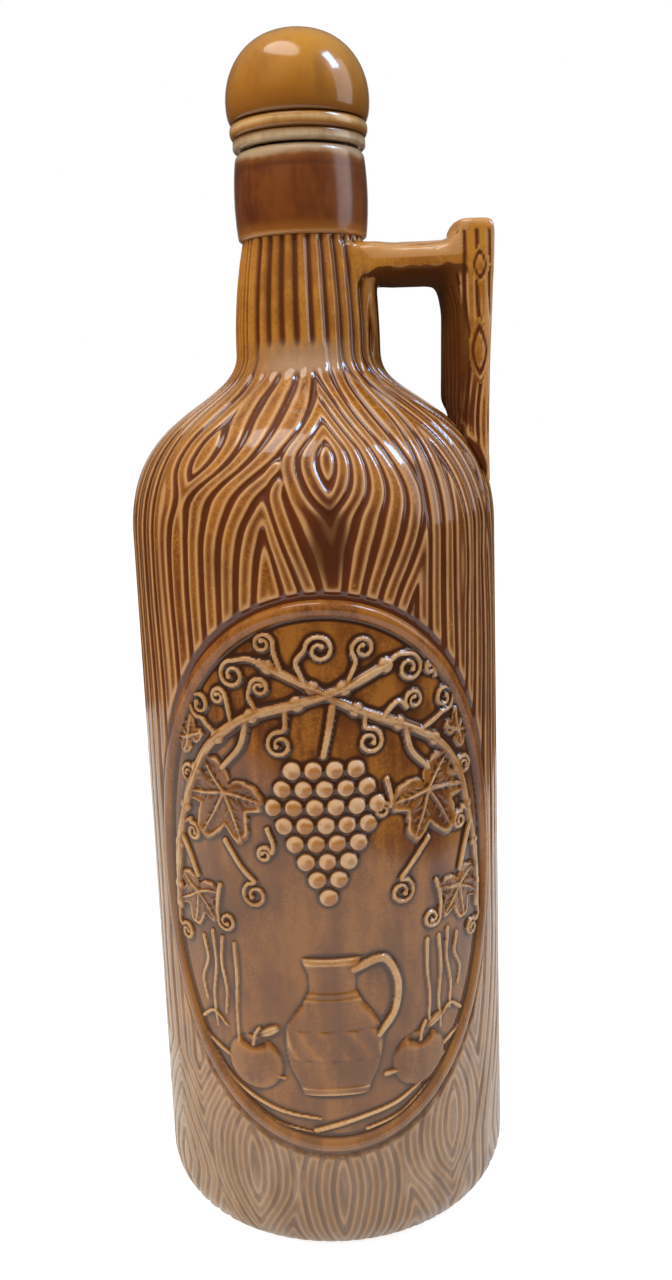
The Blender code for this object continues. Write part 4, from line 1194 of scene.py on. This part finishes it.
class Relief:
    """Heights over the flat panel, in mm above the body, that strokes, domes and leaves are raised on."""

    def __init__(self, s, t, ground):
        self.s, self.t, self.ground = s, t, ground
        self.height = np.full(len(s), float(ground))
        self.grape = np.zeros(len(s))

    def near(self, points, reach):
        low, high = points.min(0) - reach, points.max(0) + reach
        return np.nonzero((self.s > low[0]) & (self.s < high[0]) & (self.t > low[1]) & (self.t < high[1]))[0]

    def beside(self, points, half, end_half):
        """The vertices near a line, and how far each is from it as a share of the line's half width."""
        points = np.asarray(points, float)
        where = self.near(points, half + .5)
        best = np.full(len(where), 9.0)
        for (ps, pt), width in zip(points, np.linspace(half, end_half or half, len(points))):
            np.minimum(best, np.hypot(self.s[where] - ps, self.t[where] - pt) / width, out=best)
        return where, best

    def raise_to(self, where, height, grape=0.0):
        higher = height > self.height[where]
        self.height[where] = np.where(higher, height, self.height[where])
        self.grape[where] = np.where(higher, grape, self.grape[where])

    def stroke(self, points, half, top, end_half=None):
        """A rounded line up to a height."""
        where, share = self.beside(points, half, end_half)
        rise = np.sqrt(np.clip(1 - share ** 2, 0, 1)) * (top - self.ground) + self.ground
        self.raise_to(where, np.where(share < 1, rise, -9))

    def scratch(self, points, half, depth, end_half=None):
        """A rounded groove."""
        where, share = self.beside(points, half, end_half)
        self.height[where] -= depth * np.clip(1 - share ** 2, 0, 1)

    def cane(self, knots, half, top):
        """A woody stem with bark grooves and a swelling at each joint."""
        line = curve_points(knots)
        self.stroke(line, half, top, half * .8)
        for place in line[14::30]:
            self.dome(place, half * 1.28, half * 1.28, top + .03, power=.4)
        side = np.gradient(line, axis=0)
        side = np.stack([-side[:, 1], side[:, 0]], 1) / np.maximum(np.hypot(*side.T), 1e-6)[:, None]
        sway = np.sin(np.arange(len(line)) / 9.0)[:, None]
        self.scratch(line + side * half * (.30 + .18 * sway), .30, .17)
        self.scratch(line - side * half * (.38 - .18 * sway), .28, .15)

    def dome(self, centre, half_s, half_t, top, grape=0.0, power=.5, turn=0.0):
        """A rounded boss up to a height."""
        centre = np.array(centre, float)
        where = self.near(centre[None], max(half_s, half_t) + 1)
        a = math.radians(turn)
        ds, dt = self.s[where] - centre[0], self.t[where] - centre[1]
        q = ((ds * math.cos(a)
              + dt * math.sin(a)) / half_s) ** 2 + ((dt * math.cos(a) - ds * math.sin(a)) / half_t) ** 2
        rise = self.ground + (top - self.ground) * np.clip(1 - q, 0, 1) ** power
        # the grape value peaks below and right of the middle, where the glaze shows amber, so each grape is
        # paler on its upper left: partly glaze colour, partly painted light from the upper left
        core = ((ds - .18 * half_s) ** 2 + (dt + .2 * half_t) ** 2) / (half_s * half_t)
        self.raise_to(where, np.where(q < 1, rise, -9), grape * (1 - .5 * np.clip(core, 0, 1)))

    def leaf(self, centre, length, turn):
        """A toothed vine leaf with a turned edge, raised veins and puffed blade between them."""
        centre = np.array(centre, float)
        where = self.near(centre[None], length * 1.1)
        a = 2 * math.pi * turn
        ds, dt = self.s[where] - centre[0], self.t[where] - centre[1]
        u, v = ds * math.cos(a) + dt * math.sin(a), dt * math.cos(a) - ds * math.sin(a)
        share, reach = np.abs(np.arctan2(v, u)) / math.pi, np.hypot(u, v)
        edge = length * np.interp(share,
                                  *zip(*LEAF_SIDE)) * (1 + .06 * np.abs(np.sin(share * math.pi * 10)) - .03)
        q = reach / edge
        puff = sum(np.exp(-((share - at) / .055) ** 2)
                   for at in (.145, .45, .78)) * np.sin(math.pi * np.clip(q, 0, 1))
        blade = .10 * smoothstep(1.0, .9, q) + .26 * np.exp(-((q - .90) / .07) ** 2) + .16 * puff - .04
        self.raise_to(where, np.where(q < 1, blade, -9))
        for at, reach_share in LEAF_VEINS:
            b = a + at * math.pi
            along = np.array([math.cos(b), math.sin(b)])
            across = np.array([-along[1], along[0]])
            tip = centre + along * length * reach_share
            self.stroke(curve_points([centre, (centre + tip) / 2 + across * .25, tip]), .60, .56, .28)
            for part in (.36, .58, .78):
                foot = centre + (tip - centre) * part
                for way in (-1, 1):
                    twig = foot + (along * .75 + across * way) * length * .17 * (1.2 - part)
                    self.stroke(curve_points([foot, twig]), .32, .34, .22)


def draw_vine(relief):
    """Two canes that rise from the sides and cross at the top, with their tendrils, leaves and grapes."""
    relief.cane([(-40.9, -9.2), (-39.9, 4), (-37.1, 13.9), (-32.8, 23.8), (-26.6, 33), (-17.1, 39.6),
                 (-5.7, 42.9), (5.2, 46.2),
                 (15.2, 50.8)], 1.45, .86)
    relief.cane([(40.9, -11.9), (40.4, 1.3), (38, 11.2), (34.7, 22.4), (28, 31), (19, 36.3), (8.1, 40.9),
                 (-2.9, 46.9),
                 (-13.3, 52.1)], 1.35, .66)
    for knots in [
        [(-17.1, 39.6), (-19, 33), (-23.8, 27.7)], [(19, 36.3), (20.4, 30.4), (24.7, 25.7)],
        [(2.4, 42.2), (1.4, 37), (0, 31)],
        [(-38.5, 9.9), (-35.2, 4), (-33.3, 0)], [(38.5, 9.9), (36.1, 4), (34.2, -1.3)],
    ]:
        relief.stroke(curve_points(knots), .9, .62, .7)
    relief.leaf((-23.8, 21.8), 14.0, .66)
    relief.leaf((24.7, 20.5), 14.0, .84)
    relief.leaf((-33.3, -4), 9.3, .72)
    relief.leaf((33.7, -5.3), 9.3, .78)
    relief.leaf((-33.5, 33.5), 6.4, .36)
    relief.leaf((34.2, 32.5), 6.4, .12)
    tendrils = [
        # stem, centre, where the spiral starts as a share of a turn, which way it winds, radius
        ([(-13.3, 52.1), (-16.5, 52.9)], (-20, 49.2), .22, 1, 3.3),
        ([(15.2, 50.8), (17.5, 52.4)], (20.4, 49.2), .28, -1, 3.3),
        ([(-3.4, 47.2), (-5.2, 52)], (0, 54.8), .50, -1, 3.3),
        ([(5.2, 46.2), (7.6, 51)], (9.6, 54.6), .62, -1, 2.7),
        ([(-8.5, 50), (-9.8, 53.6)], (-12.4, 56.4), .95, 1, 2.4),
        ([(22.5, 34.5), (27, 36.5)], (29.9, 40.9), .72, 1, 3.2),
        ([(-24.5, 35), (-27.5, 37)], (-29.5, 41.6), .78, -1, 3.2),
        ([(-8, 42.2), (-8.2, 38)], (-9.5, 33.7), .22, 1, 3.1),
        ([(9.5, 40.2), (9.5, 37.6)], (10.5, 33.7), .28, -1, 3.1),
        ([(-29.6, 29.2), (-31.4, 26.6)], (-34.3, 24.6), .15, 1, 2.3),
        ([(31.6, 27.6), (33.5, 25.4)], (36.4, 23.6), .30, -1, 2.2),
        ([(-14.2, 40.8), (-16.2, 44.2)], (-13.6, 46.6), .50, -1, 2.2),
        ([(13.5, 38.8), (17.2, 42)], (21.4, 41.8), .60, -1, 2.4),
        ([(-20.8, 38), (-21.6, 42)], (-24.0, 44.0), .0, 1, 2.0),
        ([(27.5, 46.5), (27.2, 47.5)], (26.0, 48.5), .0, 1, 1.7),
        ([(-37.6, 12), (-34.6, 13.6)], (-33.9, 10.6), .30, -1, 2.2),
        ([(37.8, 12), (35.4, 13.6)], (34.4, 10.6), .20, 1, 2.2),
        ([(-24.2, 10.2), (-20, 4)], (-17.1, -2), .25, 1, 3.2),
        ([(24.4, 9), (20, 4)], (17.1, -2.6), .25, -1, 3.2),
        ([(-40.7, -8), (-41.6, -13)], (-38.6, -15.6), .40, -1, 2.2),
        ([(40.8, -11), (41.6, -15)], (38.6, -17.6), .10, 1, 2.2),
        ([(-13.4, 14), (-12.2, 10.6)], (-14.3, 8), .05, 1, 1.9),
        ([(14.2, 24.5), (15.0, 20.6)], (12.9, 17.5), .05, 1, 1.9),
        ([(-26.5, -1), (-27.5, -6)], (-25.0, -9.6), .45, 1, 2.4),
        ([(26.5, -2), (27.6, -7)], (25.0, -10.8), .05, -1, 2.4),
    ]
    for stem, centre, start, way, radius in tendrils:
        line = curl(stem, centre, start, way, radius)
        relief.stroke(line, .64, .60, .46)
        relief.dome(line[-1], .72, .72, .66)
    for row, count in enumerate(GRAPE_ROWS):
        for i in range(count):
            s, t = (i - (count - 1) / 2) * GRAPE_PITCH, 27.7 - row * GRAPE_PITCH * .9
            relief.dome((s, t), 2.3, 2.3, HIGHEST, grape=.96 + .04 * math.sin(7.1 * i + 3.3 * row), power=.8)
    for s, top, end, lean in [(-29.6, -13, -37, .6), (-26.8, -14, -33, -.5), (-32.6, -15, -31, 1.0),
                              (-23.4, -15, -40, .2),
                              (29.8, -15, -35, -.6), (27.0, -16, -39, .4), (32.8, -17, -30, -.9),
                              (23.6, -16, -36, -.3)]:
        relief.stroke(curve_points([(s, top), (s + lean, (top * 2 + end) / 3),
                                    (s - lean, (top + end * 2) / 3), (s, end)]),
                      .62, .34, .34)


def draw_table(relief):
    """A jug between two fruits, on a cloth."""
    foot, tall, wide = -50.8, 34.0, 11.6
    for knots, half in [
        ([(-37.5, -37), (-31, -41.5), (-22, -45), (-12, -47)], .7),
        ([(12, -47), (22, -45.5), (31, -42), (37.5, -37.5)], .7),
        ([(-32, -43), (-25, -50), (-15, -55), (-4, -57)], .75),
        ([(-5, -60), (6, -57), (16, -54), (28, -46)], .75),
        ([(-24, -52.5), (-15, -58.2), (-6, -60.4)], .55), ([(7, -60.3), (15, -57.7), (23, -52)], .55),
        ([(-34.5, -36), (-30.5, -33.5), (-26.5, -36.5)], .55),
        ([(33.8, -36.5), (30, -34), (26.5, -37.2)], .55),
    ]:
        relief.stroke(curve_points(knots), half, .36, half * .5)
    where = relief.near(np.array([(0, foot), (0, foot + tall)]), wide + 1)
    share = (relief.t[where] - foot) / tall
    half = soft(share, JUG_SIDE, .015) * wide
    across = np.abs(relief.s[where]) / half
    body = relief.ground + (.80 - relief.ground) * np.sqrt(np.clip(1 - across ** 2, 0,
                                                                   1)) ** .85 * np.sqrt(half / wide)
    for at, thick in ((.05, .22), (.70, .20), (.74, .14), (.96, .24)):
        body += thick * np.exp(-((share - at) / .016) ** 2)
    # a band of slanted flutes round the belly
    band = smoothstep(.24, .27, share) * smoothstep(.50, .47, share)
    around = np.arcsin(np.clip(relief.s[where] / half, -1, 1))
    body += band * .13 * np.cos(around * 11
                                + (share - .37) * 26) - .10 * np.exp(-((share - .255) / .012) ** 2) \
        - .10 * np.exp(-((share - .485) / .012) ** 2)
    relief.raise_to(where, np.where((across < 1) & (share > 0) & (share < 1), np.minimum(body, HIGHEST), -9))
    handle = curve_points([(share_s * wide, foot + share_t * tall) for share_s, share_t in
                           ((.44, .92), (1.03, .97), (1.32, .80), (1.25, .58), (.90, .42))])
    relief.stroke(handle, 1.15, .72, .95)
    relief.scratch(handle, .35, .14)
    for s, t in ((-19.5, -43.9), (20.9, -44.9)):
        relief.dome((s, t), 7.2, 6.9, .78)
        relief.scratch(curve_points([(s - 2.2, t + 5.3), (s, t + 4.7), (s + 2.2, t + 5.3)]), 1.5, .5)
        relief.stroke(curve_points([(s, t + 4.6), (s + .5, t + 7), (s + 1.6, t + 8.8)]), .5, .62, .4)
        relief.dome((s + 4.2, t + 8.4), 3.0, 1.25, .42, turn=28)
        relief.scratch(curve_points([(s + 1.8, t + 7.2), (s + 6.4, t + 9.6)]), .28, .16)


class DECANTER_OT_panel(bpy.types.Operator):
    """Models the oval panel's rim and its relief"""

    bl_idname = "decanter.panel"
    bl_label = "Relief panel"

    def execute(self, context):
        p, b = sizes("panel_sizes"), sizes("bottle_sizes")
        columns = int(2 * p["half_width"] / p["pitch"])
        rows = int(2 * p["half_height"] / p["pitch"])
        piece, across, up = grid(columns, rows)
        s, t = (2 * across - 1) * p["half_width"], (2 * up - 1) * p["half_height"]
        edge = -oval_distance(s, t, p["half_width"], p["half_height"])
        relief = Relief(s, t, -.30)
        draw_vine(relief)
        draw_table(relief)
        height = np.minimum(relief.height, HIGHEST)
        width = p["rim_width"]
        crown = np.sin(math.pi * np.clip(edge / width, 0, 1)) ** .7 * (p["rim_height"] + .3) - .3
        height = np.where(edge < width, crown, height)
        height = height - .16 * np.exp(-((edge - width - .4) / .7) ** 2)
        height = np.where(edge < .8, height - 1.3 * smoothstep(.8, .0, edge), height)
        # the break of the glaze: how far a point stands above its surroundings
        order = np.lexsort((s.round(3), t.round(3)))
        count_s = len(np.unique(s.round(3)))
        table = height[order].reshape(-1, count_s)
        low = table.copy()
        for _ in range(4):
            for axis in (0, 1):
                low = (np.roll(low, 2, axis) + np.roll(low, 1, axis) + low + np.roll(low, -1, axis)
                       + np.roll(low, -2, axis)) / 5
        lift = np.empty(len(s))
        lift[order] = (table - low).ravel()
        turn = s / b["body_radius"]
        radius = b["body_radius"] + height
        place_vertices(piece, np.stack([radius * np.sin(turn), -radius * np.cos(turn), p["centre_z"] + t], 1))
        attribute(piece, "lift", np.clip(lift * 1.6, -1, 1))
        attribute(piece, "grape", relief.grape)
        attribute(piece, "rim", smoothstep(width + .1, width - .5, edge))
        delete_vertices(piece, edge < -.05)
        finish_piece(piece, "relief_carved", "bottle", panel_material(), ["relief_panel"])
        return {"FINISHED"}


# The stopper


class DECANTER_OT_stopper(bpy.types.Operator):
    """Turns the domed stopper and its cork"""

    bl_idname = "decanter.stopper"
    bl_label = "Stopper and cork"

    def execute(self, context):
        low, high = (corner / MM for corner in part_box("stopper_head"))
        foot, top = low.z, high.z
        profile = [(10.4, foot), (14.5, foot)]
        for i in range(1, 7):
            turn = math.radians(90 * i / 6)
            profile.append((14.5 + 1.0 * math.sin(turn), foot + .8 - .8 * math.cos(turn)))
        for i in range(1, 7):
            turn = math.radians(90 * i / 6)
            profile.append((15.5 - .6 * (1 - math.cos(turn)), foot + 1.9 + .7 * math.sin(turn)))
        for i in range(1, 18):
            turn = math.radians(-90 + 180 * i / 18)
            profile.append((14.9 + 1.2 * math.cos(turn) ** .7, foot + 4.35 + 1.6 * math.sin(turn)))
        dome = foot + 6.0
        profile.append((15.0, dome + .05))
        for i in range(0, 14):
            turn = math.radians(-84 + 84 * i / 14)
            profile.append((15.1 + 1.6 * math.cos(turn) ** .62, dome + .1 + 4.6 * (1 + math.sin(turn))))
        start = dome + 4.7
        rise = top - .4 - start
        for i in range(31):
            turn = math.radians(90 * i / 30)
            profile.append((16.7 * math.cos(turn) ** .86 if i < 30 else 0, start + rise * math.sin(turn)))
        head = turned(profile, 240)
        finish_piece(head, "stopper_dome", "stopper", stopper_material(), ["stopper_head"],
                     angle=50)
        low, high = (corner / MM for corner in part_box("stopper_cork"))
        reach = high.z - low.z
        cork = [(0, high.z), (10.3, high.z)]
        for i in range(1, 24):
            share = i / 24
            cork.append((10.3 + (9.3 - 10.3) * share, high.z - (reach - 1.0) * share))
        cork += [(9.2, low.z + 1.0), (8.9, low.z + .4), (8.3, low.z), (4, low.z), (0, low.z)]
        stick = turned(cork, 128)
        finish_piece(stick, "cork_plug", "stopper", cork_material(), ["stopper_cork"], angle=40)
        return {"FINISHED"}


# The stage


CAMERA_PLACE = (0.0, -0.29648816, 0.20166003)
CAMERA_RIGHT = (0.99910618, -0.02200582, -0.03609135)
CAMERA_UP = (0.03971666, 0.19638795, 0.97972157)
CAMERA_FORWARD = (0.01447167, 0.98027931, -0.19708641)
LENS = 1198.327 / 1280 * 36


def area_light(name, place, target, width, height, power, colour):
    lamp = bpy.data.lights.new(name, "AREA")
    lamp.shape, lamp.size, lamp.size_y = "RECTANGLE", width, height
    lamp.energy, lamp.color = power, colour
    light = bpy.data.objects.new(name, lamp)
    bpy.context.scene.collection.objects.link(light)
    light.location = place
    light.rotation_mode = "QUATERNION"
    light.rotation_quaternion = (Vector(target) - Vector(place)).to_track_quat("-Z", "Y")
    return light


def toward(azimuth, elevation, distance):
    """A place by its direction from the bottle: azimuth 0 is the camera's side, 90 the handle's."""
    a, e = math.radians(azimuth), math.radians(elevation)
    return (distance * math.sin(a) * math.cos(e), -distance * math.cos(a) * math.cos(e),
            .17 + distance * math.sin(e))


class DECANTER_OT_stage(bpy.types.Operator):
    """Lays the pale floor, hangs the lamps and sets the camera at the photograph's angle"""

    bl_idname = "decanter.stage"
    bl_label = "Stage"

    def execute(self, context):
        look = context.scene.stage_look
        deselect()
        bpy.ops.mesh.primitive_plane_add(size=12, location=(0, 0, 0))
        floor = bpy.context.object
        floor.name = "floor"
        material, shader = new_material("floor_pale")
        seen = shader.node("ShaderNodeLightPath", output="Is Camera Ray")
        across, along = shader.axis("X") - look.table_place[0], shader.axis("Y") - look.table_place[1]
        reach = (across * across + along * along) ** .5
        table = 1 - shader.step(reach, look.table_radius - .01, look.table_radius + .01)
        matt = shader.node("ShaderNodeBsdfDiffuse",
                           inputs={"Color": shader.mix(table, (.12, .09, .07), tuple(look.floor))})
        bright = shader.node("ShaderNodeEmission",
                             inputs={"Color": (1.0, .97, .90), "Strength": table * look.table_level})
        lit = shader.node("ShaderNodeAddShader", inputs={0: matt, 1: bright})
        pale = shader.node("ShaderNodeBsdfDiffuse", inputs={"Color": (.42, .42, .42)})
        glow = shader.node("ShaderNodeEmission", inputs={"Color": (1.0, 1.0, 1.0), "Strength": .86})
        both = shader.node("ShaderNodeAddShader", inputs={0: pale, 1: glow})
        surface = shader.node("ShaderNodeMixShader", inputs={0: seen, 1: lit, 2: both})
        shader.node("ShaderNodeOutputMaterial", inputs={"Surface": surface})
        floor.data.materials.append(material)

        world = bpy.data.worlds.new("studio")
        context.scene.world = world
        world.use_nodes = True
        shader = Shader(world.node_tree)
        path = [shader.node("ShaderNodeLightPath", output=f"Is {kind} Ray")
                for kind in ("Camera", "Glossy", "Transmission")]
        way = shader.node("ShaderNodeTexCoord", output="Generated")
        behind = shader.step(shader.node("ShaderNodeSeparateXYZ", inputs={0: way}, output="Y"), .90, .995)
        ceiling = shader.step(shader.node("ShaderNodeSeparateXYZ", inputs={0: way}, output="Z"), .1, .9)
        backdrop = path[0] + path[2] + path[1] * behind
        level = (1 - path[1]) * look.room_level + path[1] * (ceiling * .25 + look.dim_level)
        tint = shader.mix(path[1], (1.0, .985, .96), (1.0, .90, .78))
        room = shader.node("ShaderNodeBackground", inputs={"Color": tint, "Strength": level})
        white = shader.node("ShaderNodeBackground", inputs={"Color": (1.0, 1.0, 1.0), "Strength": 1.0})
        surface = shader.node("ShaderNodeMixShader", inputs={0: backdrop, 1: room, 2: white})
        shader.node("ShaderNodeOutputWorld", inputs={"Surface": surface})

        middle = (0, 0, .19)
        area_light("window_right", toward(75, 50, 1.0), middle, .20, .34, look.window_power, (.34, .60, 1.0))
        area_light("wall_right", toward(80, 24, 1.1), middle, .62, 1.0, look.wall_power, (1.0, .94, .96))
        above = area_light("soft_above", toward(-50, 74, .9), middle, .70, .36, look.sky_power,
                           (1.0, .98, .95))
        above.data.shape = "ELLIPSE"
        front = area_light("soft_front", toward(-42, 38, 1.4), middle, 1.0, .8, look.front_power,
                           (1.0, .98, .95))
        front.visible_glossy = False

        lens = bpy.data.cameras.new("camera")
        lens.lens, lens.sensor_width, lens.clip_start = LENS, 36, .01
        camera = bpy.data.objects.new("camera", lens)
        context.scene.collection.objects.link(camera)
        back = -Vector(CAMERA_FORWARD)
        turn = Matrix((CAMERA_RIGHT, CAMERA_UP, back)).transposed()
        camera.matrix_world = Matrix.Translation(CAMERA_PLACE) @ turn.to_4x4()
        context.scene.camera = camera
        context.scene.view_settings.view_transform = "Standard"
        return {"FINISHED"}


# Add-on


class DECANTER_PT_panel(bpy.types.Panel):
    """Lists the decanter's pieces in the order that they are made"""

    bl_idname = "DECANTER_PT_panel"
    bl_label = "Decanter"
    bl_space_type = "VIEW_3D"
    bl_region_type = "UI"
    bl_category = "Decanter"

    def draw(self, context):
        for operator in OPERATORS:
            self.layout.operator(operator.bl_idname)
        for name in GROUPS:
            box = self.layout.box()
            settings = getattr(context.scene, name)
            for key in settings.__annotations__:
                box.prop(settings, key)


GROUPS = {
    "bottle_sizes": BottleSizes, "grain_sizes": GrainSizes, "panel_sizes": PanelSizes,
    "glaze_colours": GlazeColours,
    "stage_look": StageLook,
}
OPERATORS = (DECANTER_OT_body, DECANTER_OT_collar, DECANTER_OT_handle, DECANTER_OT_panel, DECANTER_OT_stopper,
             DECANTER_OT_stage)


def register():
    for item in (*GROUPS.values(), *OPERATORS, DECANTER_PT_panel):
        bpy.utils.register_class(item)
    for name, group in GROUPS.items():
        setattr(bpy.types.Scene, name, PointerProperty(type=group))


def unregister():
    for name in GROUPS:
        delattr(bpy.types.Scene, name)
    for item in reversed((*GROUPS.values(), *OPERATORS, DECANTER_PT_panel)):
        bpy.utils.unregister_class(item)


def main():
    register()
    bpy.ops.decanter.body()
    bpy.ops.decanter.collar()
    bpy.ops.decanter.handle()
    bpy.ops.decanter.panel()
    bpy.ops.decanter.stopper()
    bpy.ops.decanter.stage()


if __name__ == "__main__":
    main()
